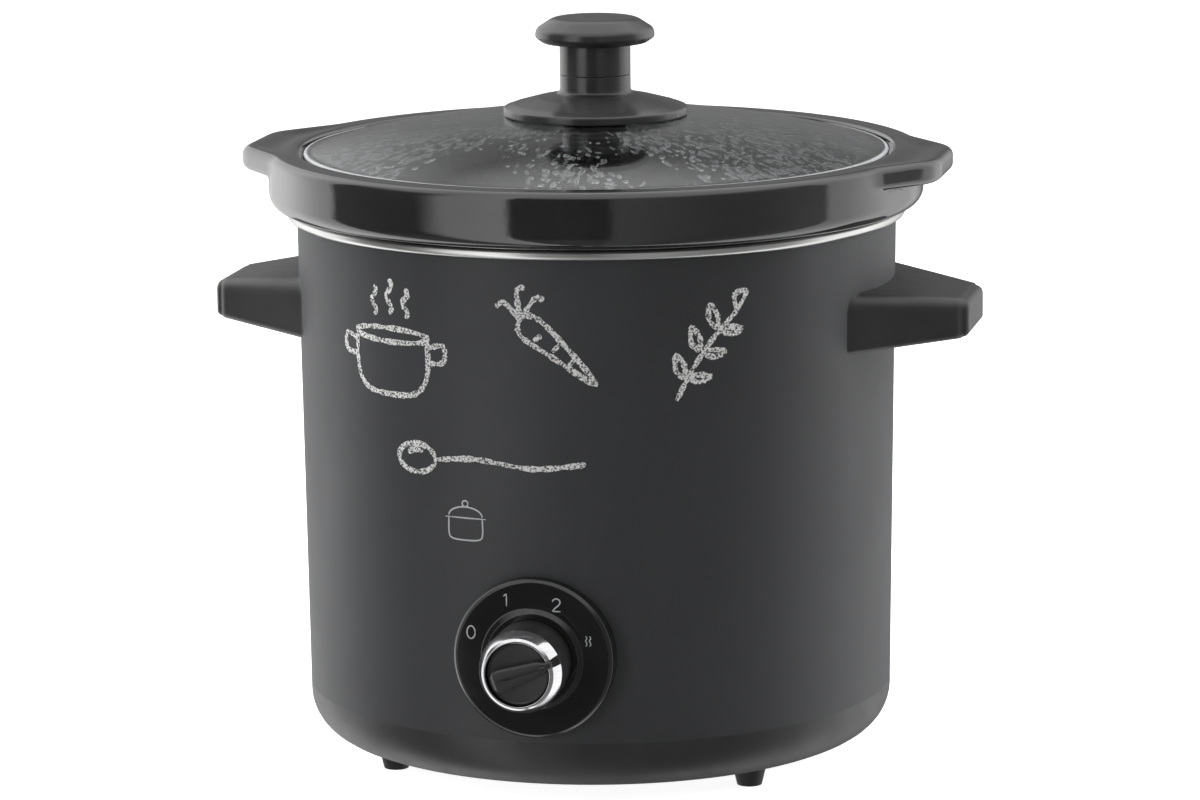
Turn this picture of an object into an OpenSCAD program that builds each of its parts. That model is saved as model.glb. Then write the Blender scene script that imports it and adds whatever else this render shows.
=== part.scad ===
// Round countertop slow cooker: painted steel body on a moulded base, lift-out stoneware
// crock with two ears, glass lid with a mushroom knob, and a four-position rotary control.
// Millimetres, +Z up. The control faces -Y and the side handles point along +X and -X.
// Every piece is drawn about the cooker's upright axis. The origin of the finished part is in
// the plane it stands on, under the middle of its box, so the axis lies frame_y behind it.

/* [Body] */
// Outside radius of the painted steel shell at its top
shell_r = 115.5; // [100:0.5:145]
// Height of the shell above its seam with the base
shell_h = 183; // [150:1:225]
// How much smaller the shell's radius is at the base seam than at its top
shell_taper = 2.1; // [0:0.1:4]
// Sheet thickness of the shell
shell_t = 0.8; // [0.5:0.1:1.2]
// Air gap between the shell and the heating well
jacket = 7.8; // [7.5:0.1:12]
// Sheet thickness of the heating well
well_t = 0.8; // [0.5:0.1:1.2]
// Wire radius of the rolled lip at the top of the well
lip_r = 2; // [1.5:0.1:2.6]

/* [Base] */
// Height of the moulded base up to its seam with the shell
base_h = 19.4; // [16:0.1:26]
// Wall thickness of the base
base_t = 2.5; // [2:0.1:3.5]
// How far the base's underside is set in from the seam
base_tuck = 15.4; // [8:0.1:19]
// Height of the feet below the base
foot_h = 8.6; // [6:0.1:12]
// Radius of a foot where it meets the base
foot_r = 6.8; // [5:0.1:9]
// Angle between a foot and the front-to-back line
foot_angle = 52; // [40:1:65]

/* [Crock] */
// Radial clearance between the crock and the well
crock_clear = 1.6; // [1:0.1:3]
// Wall thickness of the stoneware crock
crock_wall = 5.2; // [4:0.1:8]
// Height of the crock's rim above the shell
rim_h = 25.2; // [23:0.1:36]
// How far the rim stands out from the shell
rim_over = 10.5; // [8:0.5:14]
// Width of the rim's flat top
rim_w = 11.5; // [9.5:0.5:13]
// Depth of the ledge that the lid sits on, below the rim's top
ledge_d = 5; // [4:0.5:7]
// How far the ears reach beyond the rim
ear_reach = 10.5; // [8:0.5:18]
// Width of an ear's tip from front to back
ear_tip_w = 66; // [44:1:80]
// Thickness of an ear
ear_t = 9; // [7:0.5:12]

/* [Lid] */
// Radial clearance between the lid and the rim
lid_clear = 1.7; // [1:0.1:3]
// Thickness of the tempered glass
glass_t = 4; // [3:0.25:5]
// Rise of the glass from its edge to its middle
glass_rise = 14; // [8:0.1:24]
// Radius of the knob's base disc
disc_r = 35.5; // [28:0.5:45]
// Radius of the knob's stem
stem_r = 13.6; // [10:0.1:17]
// Radius of the knob's cap
cap_r = 23; // [20:0.5:30]
// Height of the knob's stem between the disc and the cap
stem_h = 18.9; // [15:0.1:30]
// Height of the knob's cap
cap_h = 9.6; // [8.5:0.1:14]

/* [Control] */
// Radius of the bezel behind the dial
bezel_r = 30.2; // [25:0.1:38]
// Gap between the bezel and the base seam
bezel_gap = 2.9; // [0.5:0.1:8]
// How far the bezel's face stands out from the shell
bezel_out = 4.7; // [3:0.1:6]
// Radius of the raised boss in the middle of the bezel
boss_r = 17.6; // [17:0.1:20]
// Radius of the dial knob at its chrome ring
dial_r = 16.3; // [14:0.1:18]
// Depth of the dial knob from its back to its front edge
dial_d = 23; // [18:0.1:28]
// Radius of the control's shaft
shaft_r = 3; // [2.5:0.1:3.5]
// Width and height of the rotary switch
switch_w = 22; // [20:0.5:26]
// Depth of the rotary switch
switch_d = 14; // [12:0.5:18]

/* [Handles] */
// Distance from the cooker's axis to the end of a handle
handle_reach = 148; // [140:0.5:175]
// Width of a handle where it meets the shell
handle_root_w = 94; // [70:1:105]
// Width of a handle at its end
handle_tip_w = 40; // [30:1:60]
// Height of a handle where it meets the shell
handle_root_h = 23.5; // [18:0.5:30]
// Height of a handle at its end
handle_tip_h = 14.5; // [10:0.5:18]
// Distance from the shell's top edge down to the handle's top
handle_drop = 22.5; // [14:0.5:40]

/* [Wiring] */
// Radius of the hole in the cord gland
cord_hole_r = 3.6; // [3:0.1:4.5]
// Height of the cord gland above the base seam
gland_up = 16; // [12:0.5:24]
// Radius of the insulated wires inside
wire_r = 1.1; // [0.8:0.1:1.4]

/* [Hidden] */
$fn = 96;
eps = 0.01;
free_gap = 0.4;
slip = 0.2;

// heights, from the floor up
seam_z = foot_h + base_h;
shell_top = seam_z + shell_h;
base_floor_z = foot_h + base_t;
dial_z = seam_z + bezel_gap + bezel_r;
shield_t = 0.6;
shield_z = dial_z + switch_w / 2 + 3;
shield_gap = 7;
well_z = shield_z + shield_t + shield_gap;
well_floor_z = well_z + well_t;
lip_z = shell_top + 0.6 * lip_r;
lip_top = lip_z + lip_r;
rim_top = shell_top + rim_h;
ledge_z = rim_top - ledge_d;
glass_z = ledge_z + free_gap;
glass_edge_top = glass_z + glass_t;

// radii, from the shell inward
shell_ri = shell_r - shell_t;
well_r = shell_ri - jacket;
well_ri = well_r - well_t;
lip_ring_r = shell_r + 0.8 * lip_r + 0.1;
crock_r = well_ri - crock_clear;
crock_ri = crock_r - crock_wall;
rim_r = shell_r + rim_over;
ledge_r = rim_r - rim_w;
glass_r = ledge_r - lid_clear;

// base
seam_r = shell_r - shell_taper;
base_bottom_r = seam_r - base_tuck;
spigot_r = seam_r - shell_t - slip;
base_lip_t = 2;
base_lip_h = 6;
foot_ring_r = 88;
foot_tip_r = foot_r * 0.7;
foot_stem_r = 3;
foot_head_r = 4.4;
foot_head_h = 1.6;
stud_boss_r = 9;
stud_recess_r = 8;
stud_recess_h = 6;

// fixings on the upright axis
stud_r = 2.5;
stud_flange_r = 9;
stud_flange_t = 1.5;
nut_h = 4;
nut_r = 4.6;
washer_r = 7;
washer_t = 1;

// heater band around the lower part of the well
band_t = 1.2;
band_h = 46;
band_up = 10;
band_z = well_z + band_up;
band_split = 14;
band_tab_h = 30;
band_tab_t = 1;
band_tab_d = 4.4;
band_bolt_r = 1.2;

// switch, shaft and dial along the -Y axis
control_r = shell_at(dial_z);
switch_front = control_r - shell_t - 0.9;
switch_back = switch_front - switch_d;
switch_wall = 2;
switch_cover_t = 1.6;
blade_x = 5;
blade_z = 4.5;
blade_t = 0.8;
blade_w = 3.6;
blade_out = 6;
blade_in = 2;
neck_r = 4.7;
neck_hole_r = neck_r + slip;
collar_r = 7;
boss_out = 1.5;
bezel_face = control_r + bezel_out;
boss_face = bezel_face + boss_out;
switch_nut_t = 2.4;
switch_nut_r = 7;
neck_end = boss_face + switch_nut_t + 0.6;
dial_back = boss_face + 0.8;
dial_front = dial_back + dial_d;
dial_cavity_r = 9.5;
dial_taper = 2.8;
ring_d = 6;
ring_t = 1.4;
ring_gap_w = 3;
grip_w = 8.5;
grip_tip_w = 5;
grip_out = 1.6;
shaft_end = dial_front - 3.2;
shaft_fit = 0.05;
shaft_flat = 0.8;
cam_r = 7;
cam_d = 4;
mark_angle = 20;
groove_w = 1.2;

// handles
handle_top_z = shell_top - handle_drop;
handle_slope = 5.5;
handle_bevel = 12;
handle_screw_y = 24;
handle_screw_r = 2;
handle_screw_len = 14;
handle_screw_z = handle_top_z - handle_root_h / 2;
handle_plate_t = 1.2;
handle_plate_w = 66;
handle_plate_h = 14;
screw_head_r = 3.6;
screw_head_h = 2.2;

// crock
ear_angle = 22;
ear_corner = 18;
ear_bite = 6;

// lid knob
glass_edge_r = glass_r - glass_t / 2;
dome_r = (pow(glass_edge_r, 2) + pow(glass_rise, 2)) / (2 * glass_rise);
dome_z = glass_edge_top + glass_rise - dome_r;
glass_top_z = glass_edge_top + glass_rise;
glass_hole_r = 5;
disc_foot = 3;
disc_z = dome_h(disc_r - disc_foot);
disc_edge_h = 2.6;
disc_cone_h = 6.4;
stem_z = disc_z + disc_edge_h + disc_cone_h;
part_line_z = stem_z + 6.6;
part_groove = 0.3;
stem_wall = 3.5;
cap_z = stem_z + stem_h;
knob_top = cap_z + cap_h;
retainer_neck_r = 12.3;
retainer_r = 20;
retainer_h = 9;
retainer_flange_t = 2.6;
screw_seat = 3;
retainer_top = dome_h(retainer_neck_r) - glass_t;
insert_wall = 1.8;
insert_len = 14;
insert_z = glass_top_z + 1.2;
lid_screw_r = 2.4;

// where the finished part's origin lies: halfway between the dial's front and the rim's back
frame_y = (dial_front + grip_out - rim_r) / 2;

// wiring
gland_z = seam_z + gland_up;
gland_in = shell_at(gland_z) - 8;
gland_out = shell_at(gland_z) + 3;
gland_neck_r = cord_hole_r + 2.8;
gland_flange_r = gland_neck_r + 2.6;
block_w = 34;
block_d = 18;
block_h = 14;
block_y = 58;
block_z = base_floor_z;

// --- helpers ---------------------------------------------------------------------------

// points of an arc about (cx, cy), from angle a0 to a1 in n steps
function arc(cx, cy, r, a0, a1, n = 10) =
  [for (i = [0:n]) [cx + r * cos(a0 + (a1 - a0) * i / n), cy + r * sin(a0 + (a1 - a0) * i / n)]];

// height of the glass's outer surface at radius r
function dome_h(r) = dome_z + sqrt(pow(dome_r, 2) - r * r);

// radius of the shell's outer surface at height z
function shell_at(z) = shell_r - shell_taper * (shell_top - z) / shell_h;

// the solid inside the shell's outer surface, set in by inset and longer by over at each end
module shell_solid(inset = 0, over = 0) {
  translate([0, 0, seam_z - over]) cylinder(
    r1 = shell_at(seam_z - over) - inset, r2 = shell_at(shell_top + over) - inset,
    h = shell_h + 2 * over, $fn = 180);
}

// moves a finished piece into the part's own frame
module placed() {
  translate([0, frame_y, 0]) children();
}

// places children so that +Z becomes the outward direction of the control axis
module on_front() {
  translate([0, 0, dial_z]) rotate([90, 0, 0]) children();
}

// a cylinder on the control axis between two distances from the cooker's axis
module front_rod(r, from, to, sides = 96) {
  on_front() translate([0, 0, from]) cylinder(r = r, h = to - from, $fn = sides);
}

// a cylinder pointing along +Y at a height, between two distances from the axis
module rear_rod(r, from, to, x = 0, z = 0) {
  translate([x, from, z]) rotate([-90, 0, 0]) cylinder(r = r, h = to - from);
}

// a ring with square edges
module ring(ro, ri, z, h) {
  translate([0, 0, z]) difference() {
    cylinder(r = ro, h = h, $fn = 180);
    translate([0, 0, -1]) cylinder(r = ri, h = h + 2, $fn = 180);
  }
}

// four copies at the feet
module at_feet() {
  for (a = [foot_angle, -foot_angle, 180 - foot_angle, 180 + foot_angle])
    rotate([0, 0, a]) translate([0, -foot_ring_r, 0]) children();
}

// a pan-head screw pointing along +Z with its head's underside at z = 0
module pan_screw(r, len, head_r, head_h) {
  cylinder(r = r, h = len, $fn = 32);
  translate([0, 0, -head_h]) difference() {
    cylinder(r = head_r, h = head_h, $fn = 32);
    translate([-head_r, -0.4, -eps]) cube([2 * head_r, 0.8, head_h * 0.45]);
    translate([-0.4, -head_r, -eps]) cube([0.8, 2 * head_r, head_h * 0.45]);
  }
}

// a wire swept along hand-chosen points
function unit(v) = v / norm(v);
function tangent(p, i) = unit(p[min(i + 1, len(p) - 1)] - p[max(i - 1, 0)]);
function side_of(t) = unit(cross(t, abs(t[2]) < 0.9 ? [0, 0, 1] : [0, 1, 0]));
function wire_ring(p, i, r, n) =
  let (t = tangent(p, i), u = side_of(t), v = cross(t, u))
  [for (k = [0:n - 1]) p[i] + r * (cos(360 * k / n) * u + sin(360 * k / n) * v)];
module wire(p, r, n = 8) {
  count = len(p);
  points = [for (i = [0:count - 1]) each wire_ring(p, i, r, n)];
  sides = [for (i = [0:count - 2], k = [0:n - 1])
    [i * n + k, i * n + (k + 1) % n, (i + 1) * n + (k + 1) % n, (i + 1) * n + k]];
  first_cap = [for (k = [n - 1:-1:0]) k];
  last_cap = [for (k = [0:n - 1]) (count - 1) * n + k];
  polyhedron(points, concat(sides, [first_cap, last_cap]));
}

// smooth curve through hand-chosen corner points (Catmull-Rom)
function spline_at(a, b, c, d, t) =
  0.5 * ((2 * b) + (c - a) * t + (2 * a - 5 * b + 4 * c - d) * t * t
  + (3 * b - a - 3 * c + d) * t * t * t);
function smooth(p, steps = 5) =
  let (n = len(p))
  concat([for (i = [0:n - 2], s = [0:steps - 1])
    spline_at(p[max(i - 1, 0)], p[i], p[i + 1], p[min(i + 2, n - 1)], s / steps)], [p[n - 1]]);

// --- base ------------------------------------------------------------------------------

module base_outline(inset = 0) {
  bend = base_h - 3;
  polygon(concat(
    [[0, foot_h + inset]],
    [[base_bottom_r - 2, foot_h + inset]],
    [for (i = [0:10]) let (a = 90 * i / 10)
      [base_bottom_r - inset + base_tuck * sin(a),
       foot_h + inset * cos(a) + bend * (1 - cos(a))]],
    [[seam_r - inset, seam_z], [0, seam_z]]));
}

module base() {
  color("#2b2b2b") difference() {
    union() {
      difference() {
        rotate_extrude($fn = 180) base_outline();
        rotate_extrude($fn = 180) base_outline(base_t);
        translate([0, 0, seam_z - 1]) cylinder(r = spigot_r - base_lip_t, h = 2, $fn = 180);
      }
      ring(spigot_r, spigot_r - base_lip_t, seam_z - 5, base_lip_h + 5);
      translate([0, 0, base_floor_z - eps]) cylinder(r = stud_boss_r + 3, h = stud_recess_h + 1);
      translate([-block_w / 2 - 2, block_y - block_d / 2 - 2, base_floor_z - eps])
        cube([block_w + 4, block_d + 4, 2]);
    }
    at_feet() translate([0, 0, foot_h - 1]) cylinder(r = foot_stem_r, h = base_t + 3);
    translate([0, 0, foot_h - 1]) cylinder(r = stud_recess_r, h = stud_recess_h + 1);
    cylinder(r = stud_r + slip, h = seam_z);
    translate([-block_w / 2, block_y - block_d / 2, block_z]) cube([block_w, block_d, block_h]);
    base_vents();
  }
}

module base_vents() {
  for (a = [0:30:330])
    rotate([0, 0, a + 15]) translate([34, -2, foot_h - 1]) cube([22, 4, base_t + 2]);
}

module feet() {
  color("#1c1c1c") at_feet() {
    cylinder(r1 = foot_tip_r, r2 = foot_r, h = foot_h, $fn = 48);
    translate([0, 0, foot_h - eps]) cylinder(r = foot_stem_r, h = base_t + eps, $fn = 48);
    translate([0, 0, base_floor_z])
      cylinder(r1 = foot_head_r, r2 = foot_stem_r, h = foot_head_h, $fn = 48);
  }
}

// --- shell and heating well -------------------------------------------------------------

module outer_shell() {
  color("#3b3c3e") difference() {
    shell_solid();
    shell_solid(shell_t, 1);
    front_rod(neck_hole_r, control_r - 10, control_r + 10);
    rear_rod(gland_neck_r, shell_ri - 20, shell_r + 20, 0, gland_z);
    for (side = [-1, 1]) at_handle_screws(side)
      translate([0, 0, -10]) cylinder(r = handle_screw_r + slip, h = 20);
  }
}

module well_outline() {
  corner = 14;
  polygon(concat(
    [[0, well_z], [well_r - corner, well_z]],
    arc(well_r - corner, well_z + corner, corner, -90, 0),
    [[well_r, shell_top], [lip_ring_r, shell_top], [lip_ring_r, shell_top + well_t],
     [well_ri, shell_top + well_t]],
    arc(well_r - corner, well_z + corner, corner - well_t, 0, -90),
    [[0, well_floor_z]]));
}

module heating_well() {
  color("#b9babb") {
    rotate_extrude($fn = 180) well_outline();
    rotate_extrude($fn = 180) translate([lip_ring_r, lip_z]) circle(r = lip_r, $fn = 32);
  }
}

// --- heater and its fixings ---------------------------------------------------------------

module heater_band() {
  color("#8c7a5c") {
    difference() {
      ring(well_r + band_t, well_r, band_z, band_h);
      translate([-band_split / 2, 0, band_z - 1]) cube([band_split, shell_r, band_h + 2]);
    }
    for (side = [-1, 1]) mirror([side < 0 ? 1 : 0, 0, 0]) difference() {
      translate([band_split / 2, sqrt(well_r * well_r - pow(band_split / 2, 2)), band_tab_z()])
        cube([band_tab_t, band_tab_d, band_tab_h]);
      for (z = band_bolt_zs()) translate([0, band_bolt_y(), z]) rotate([0, 90, 0])
        cylinder(r = band_bolt_r, h = band_split, $fn = 32);
    }
  }
}
function band_tab_z() = band_z + (band_h - band_tab_h) / 2;
function band_bolt_zs() = [band_tab_z() + 6, band_tab_z() + band_tab_h - 6];
function band_bolt_y() = well_r + band_t + 1.9;

module band_bolts() {
  color("#c9c9c9") for (z = band_bolt_zs())
    translate([-band_split / 2 - band_tab_t, band_bolt_y(), z]) rotate([0, 90, 0]) {
      pan_screw(band_bolt_r, band_split + 2 * band_tab_t + 2.5, 1.7, 1.4);
      translate([0, 0, band_split + 2 * band_tab_t]) difference() {
        cylinder(r = 1.9, h = 1.6, $fn = 6);
        translate([0, 0, -1]) cylinder(r = band_bolt_r - 0.05, h = 4, $fn = 32);
      }
    }
}

module heat_shield() {
  shield_r = well_r - 5;
  color("#cfd1d2") difference() {
    union() {
      translate([0, 0, shield_z]) cylinder(r = shield_r, h = shield_t, $fn = 180);
      ring(shield_r, shield_r - shield_t, shield_z, 4);
    }
    translate([0, 0, shield_z - 1]) cylinder(r = stud_r + slip, h = shield_t + 2);
    for (a = [60:60:360]) rotate([0, 0, a]) translate([60, 0, shield_z - 1])
      cylinder(r = 6, h = shield_t + 2);
  }
}

module centre_stud() {
  stud_end = foot_h + 0.8;
  color("#c4c4c4") {
    translate([0, 0, well_z - stud_flange_t]) cylinder(r = stud_flange_r, h = stud_flange_t);
    translate([0, 0, stud_end]) cylinder(r = stud_r, h = well_z - stud_flange_t - stud_end + eps);
  }
}

// a hex nut with a plain hole, its underside at z = 0
module hex_nut(r, hole_r, h) {
  difference() {
    cylinder(r = r, h = h, $fn = 6);
    translate([0, 0, -1]) cylinder(r = hole_r, h = h + 2);
  }
}

module shield_nut() {
  color("#c4c4c4") translate([0, 0, shield_z - nut_h]) hex_nut(nut_r, stud_r, nut_h);
}

module centre_washer() {
  color("#c4c4c4") translate([0, 0, foot_h + stud_recess_h - washer_t])
    ring(washer_r, stud_r + slip, 0, washer_t);
}

module centre_nut() {
  color("#c4c4c4") translate([0, 0, foot_h + stud_recess_h - washer_t - nut_h])
    hex_nut(nut_r, stud_r, nut_h);
}

module thermal_fuse() {
  color("#d8d2c4") translate([30, 26, well_z - 2.5]) rotate([0, 90, 0]) {
    cylinder(r = 2.5, h = 16);
    translate([0, 0, -9]) cylinder(r = 0.6, h = 34);
  }
}

module fuse_strap() {
  color("#c9c9c9") translate([36, 26, 0]) difference() {
    translate([0, -9, well_z - 5.8]) cube([4, 18, 5.8]);
    translate([-1, -10, well_z - 5.8 + 0.8 - 6]) cube([6, 5, 11]);
    translate([-1, 5, well_z - 5.8 + 0.8 - 6]) cube([6, 5, 11]);
    translate([-1, 0, well_z - 2.5]) rotate([0, 90, 0]) cylinder(r = 2.5, h = 6);
    translate([-1, -2.5, well_z - 2.5]) cube([6, 5, 4]);
  }
}

module earth_lug() {
  color("#d2c089") translate([-34, 30, well_z - 1]) {
    ring(4, 1.75, 0, 1);
    translate([-12, -1.5, 0]) cube([8.4, 3, 1]);
  }
}

module earth_screw() {
  color("#d2c089") translate([-34, 30, well_z - 1]) pan_screw(1.75, 1, 3, 1.8);
}

// --- terminal block, gland and wires --------------------------------------------------------

module terminal_block() {
  color("#e9e4d6") translate([0, block_y, block_z]) difference() {
    translate([-block_w / 2 + slip, -block_d / 2 + slip, 0])
      cube([block_w - 2 * slip, block_d - 2 * slip, block_h]);
    for (x = terminal_xs(), y = [-4.5, 4.5])
      translate([x, y, block_h - 8]) cylinder(r = 1.8, h = 9);
    for (x = terminal_xs()) translate([x, 0, 4.5]) rotate([90, 0, 0])
      cylinder(r = wire_r + slip, h = block_d + 2, center = true);
  }
}
function terminal_xs() = [-10, 0, 10];

module terminal_screws() {
  color("#d2c089") for (x = terminal_xs(), y = [-4.5, 4.5])
    translate([x, block_y + y, block_z + block_h - 8]) cylinder(r = 1.8, h = 6, $fn = 32);
}

module cord_gland() {
  color("#1c1c1c") difference() {
    union() {
      rear_rod(gland_neck_r, gland_in, gland_out, 0, gland_z);
      difference() {
        rear_rod(gland_flange_r, gland_in + 4, gland_out, 0, gland_z);
        shell_solid();
      }
      intersection() {
        rear_rod(gland_flange_r, gland_in + 3, gland_out, 0, gland_z);
        shell_solid(shell_t);
      }
    }
    rear_rod(cord_hole_r, shell_r - 20, shell_r + 20, 0, gland_z);
  }
}

// supply side: from the block up to the heater band, the fuse and the earth lug
module supply_leads() {
  back = block_y + block_d / 2 - 2;
  in_z = block_z + 4.5;
  lead_y = sqrt(pow(well_r + band_t + wire_r, 2) - 12 * 12);
  color("#8a3a30") {
    wire(smooth([[-10, back, in_z], [-10, back + 8, in_z], [-14, 94, in_z + 12],
      [-16, 104, shield_z - 6], [-14, lead_y, well_z], [-12, lead_y, band_z + 4]]), wire_r);
    wire(smooth([[10, back, in_z], [10, back + 8, in_z], [14, 94, in_z + 12],
      [16, 104, shield_z - 6], [14, lead_y, well_z], [12, lead_y, band_z + 4]]), wire_r);
  }
}

module switch_leads() {
  rear = blade_out + switch_cover_t - switch_back + 0.9;
  front = block_y - block_d / 2 + 2;
  in_z = block_z + 4.5;
  color("#3d4f7a") for (x = [-1, 1])
    wire(smooth([[x * blade_x, rear, dial_z + blade_z],
      [x * blade_x, rear + 8, dial_z + blade_z], [x * 12, -40, 46],
      [x * 26, 0, 30], [x * 12, front - 14, in_z + 2], [x * 10, front - 5, in_z],
      [x * 10, front, in_z]]), wire_r);
}

// --- rotary switch and bezel -------------------------------------------------------------------

module switch_body() {
  color("#e8e2cf") difference() {
    union() {
      on_front() translate([-switch_w / 2, -switch_w / 2, switch_back])
        cube([switch_w, switch_w, switch_front - switch_back]);
      intersection() {
        front_rod(collar_r, switch_front - 1, shell_r);
        shell_solid(shell_t);
      }
      front_rod(neck_r, switch_front - 1, neck_end);
    }
    front_rod(shaft_r + shaft_fit, switch_back - 1, neck_end + 1);
    front_rod(cam_r + 1.5, switch_back - 1, switch_front - switch_wall);
  }
}

module switch_cover() {
  color("#2b2b2b") difference() {
    on_front() translate([-switch_w / 2, -switch_w / 2, switch_back - switch_cover_t])
      cube([switch_w, switch_w, switch_cover_t]);
    switch_blades();
  }
}

// the switch's four tabs, through its cover
module switch_blades() {
  for (x = [-blade_x, blade_x], z = [-blade_z, blade_z]) on_front()
    translate([x - blade_t / 2, z - blade_w / 2, switch_back - switch_cover_t - blade_out])
      cube([blade_t, blade_w, switch_cover_t + blade_out + blade_in]);
}

module switch_contacts() {
  color("#c8a86a") switch_blades();
}

module switch_nut() {
  color("#c9c9c9") on_front() translate([0, 0, boss_face])
    hex_nut(switch_nut_r, neck_r, switch_nut_t);
}

module bezel() {
  rim = 1;
  color("#161616") difference() {
    on_front() rotate_extrude($fn = 180) polygon([
      [neck_hole_r, control_r - 8], [bezel_r, control_r - 8], [bezel_r, bezel_face - rim],
      [bezel_r - rim, bezel_face], [boss_r + boss_out, bezel_face], [boss_r, boss_face],
      [neck_hole_r, boss_face]]);
    shell_solid();
  }
}

// --- dial -------------------------------------------------------------------------------------

// everything on the dial is drawn with its pointer along +X, then turned to the mark
module on_dial() {
  on_front() rotate([0, 0, mark_angle]) children();
}

// the shaft with its flat, grown by gap
module shaft_shape(from, to, gap = 0) {
  difference() {
    translate([0, 0, from]) cylinder(r = shaft_r + gap, h = to - from);
    translate([-shaft_r, shaft_r - shaft_flat + gap, max(from, neck_end + 0.6)])
      cube([2 * shaft_r, shaft_r, to]);
  }
}

module switch_shaft() {
  color("#c4c4c4") on_dial() shaft_shape(switch_back + 1, shaft_end);
}

module switch_cam() {
  color("#e8e2cf") on_dial() difference() {
    union() {
      translate([0, 0, switch_front - switch_wall - 1 - cam_d]) cylinder(r = cam_r - 1, h = cam_d);
      translate([0, 0, switch_front - switch_wall - 1 - cam_d]) intersection() {
        cylinder(r = cam_r, h = cam_d);
        translate([-3, 0, 0]) cube([6, cam_r, cam_d]);
      }
    }
    shaft_shape(switch_back, shaft_end);
  }
}

// the bar across the dial's face, tapering to the pointer
module grip_bar() {
  half = dial_r - 2.6;
  corner = 3;
  taper_end = dial_r - dial_taper - 2 * ring_t;
  translate([0, 0, dial_front - ring_d]) linear_extrude(height = ring_d + grip_out) polygon([
    [corner - half, -grip_w / 2], [taper_end - 1, -grip_tip_w / 2],
    [taper_end, -ring_gap_w / 2], [dial_r, -ring_gap_w / 2], [dial_r, ring_gap_w / 2],
    [taper_end, ring_gap_w / 2], [taper_end - 1, grip_tip_w / 2], [corner - half, grip_w / 2],
    [-half, grip_w / 2 - corner + 1], [-half, corner - 1 - grip_w / 2]]);
}

// the gap in the chrome ring where the pointer comes through
module pointer_gap(gap = 0) {
  translate([0, -ring_gap_w / 2 - gap, dial_front - ring_d - gap])
    cube([2 * dial_r, ring_gap_w + 2 * gap, ring_d + 2 * gap]);
}

// the dial's tapered front, set in at its back and at its front edge
module dial_cone(back_inset = 0, front_inset = 0) {
  translate([0, 0, dial_front - ring_d])
    cylinder(r1 = dial_r - back_inset, r2 = dial_r - dial_taper - front_inset, h = ring_d);
}

module ring_core(gap = 0) {
  dial_cone(ring_t + gap, 0.6 * ring_t + gap);
}

module dial_knob() {
  color("#202020") on_dial() difference() {
    union() {
      translate([0, 0, dial_back]) cylinder(r = dial_r - 0.4, h = dial_d - ring_d);
      difference() {
        ring_core();
        translate([0, 0, dial_front - 1.6]) cylinder(r = dial_r, h = 3);
      }
      intersection() {
        grip_bar();
        union() {
          ring_core();
          translate([0, 0, dial_front - eps])
            cylinder(r = dial_r - dial_taper - ring_t, h = grip_out + eps);
          intersection() {
            dial_cone();
            pointer_gap();
          }
        }
      }
    }
    translate([0, 0, dial_back - 1]) cylinder(r = dial_cavity_r, h = neck_end - dial_back + 2.2);
    shaft_shape(dial_back - 1, shaft_end + 0.4, 0.02);
    translate([-1, -groove_w / 2, dial_front + grip_out - 1]) cube([dial_r * 2, groove_w, 3]);
    clip_slot();
  }
}

module clip_slot() {
  translate([-shaft_r - 0.5, shaft_r - shaft_flat + 0.02, dial_front - ring_d - 4])
    cube([2 * shaft_r + 1, 0.7, 6]);
}

module knob_clip() {
  color("#c9c9c9") on_dial()
    translate([-shaft_r, shaft_r - shaft_flat + 0.05, dial_front - ring_d - 3.5])
      cube([2 * shaft_r, 0.5, 5]);
}

module dial_ring() {
  color("#e6e6e6") on_dial() difference() {
    dial_cone();
    ring_core(-0.02);
    pointer_gap(0.05);
  }
}

// --- handles -----------------------------------------------------------------------------------

// places children at each handle screw, with +Z pointing outward
module at_handle_screws(side) {
  wall_r = shell_at(handle_screw_z) - shell_t;
  for (y = [-handle_screw_y, handle_screw_y])
    translate([side * sqrt(wall_r * wall_r - y * y), y, handle_screw_z])
      rotate([0, side * 90, 0]) children();
}

// the handle seen from above: wide at the shell, narrow at its end
module handle_plan() {
  corner = 5;
  root = handle_root_w / 2;
  tip = handle_tip_w / 2;
  root_x = sqrt(shell_r * shell_r - root * root);
  inner = 20;
  offset(r = corner) offset(r = -corner) polygon([
    [root_x - inner, -root], [root_x, -root], [handle_reach, -tip],
    [handle_reach, tip], [root_x, root], [root_x - inner, root]]);
}

// the handle seen from the front: its top slopes down and its underside slopes up
module handle_side() {
  round_r = 4;
  inner = shell_r - 60;
  under_z = handle_top_z - handle_root_h;
  tip_top = handle_top_z - handle_slope;
  offset(r = round_r) offset(r = -round_r) polygon([
    [inner, under_z], [shell_r, under_z], [handle_reach, tip_top - handle_tip_h],
    [handle_reach, tip_top], [handle_reach - handle_bevel, handle_top_z - 0.62 * handle_slope],
    [shell_r, handle_top_z], [inner, handle_top_z]]);
}

module handle(side) {
  color("#2a2a2a") mirror([side < 0 ? 1 : 0, 0, 0]) difference() {
    intersection() {
      translate([0, 0, handle_top_z - 60]) linear_extrude(height = 80) handle_plan();
      rotate([90, 0, 0]) linear_extrude(height = 2 * handle_root_w, center = true) handle_side();
    }
    shell_solid();
    at_handle_screws(1) cylinder(r = handle_screw_r, h = handle_screw_len);
  }
}

module handle_left() {
  handle(-1);
}

module handle_right() {
  handle(1);
}

module handle_plates() {
  color("#b5b5b5") for (side = [-1, 1]) difference() {
    intersection() {
      difference() {
        shell_solid(shell_t);
        shell_solid(shell_t + handle_plate_t, 1);
      }
      translate([side > 0 ? 0 : -shell_r, -handle_plate_w / 2, handle_screw_z - handle_plate_h / 2])
        cube([shell_r, handle_plate_w, handle_plate_h]);
    }
    at_handle_screws(side) translate([0, 0, -10]) cylinder(r = handle_screw_r + slip, h = 20);
  }
}

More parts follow.
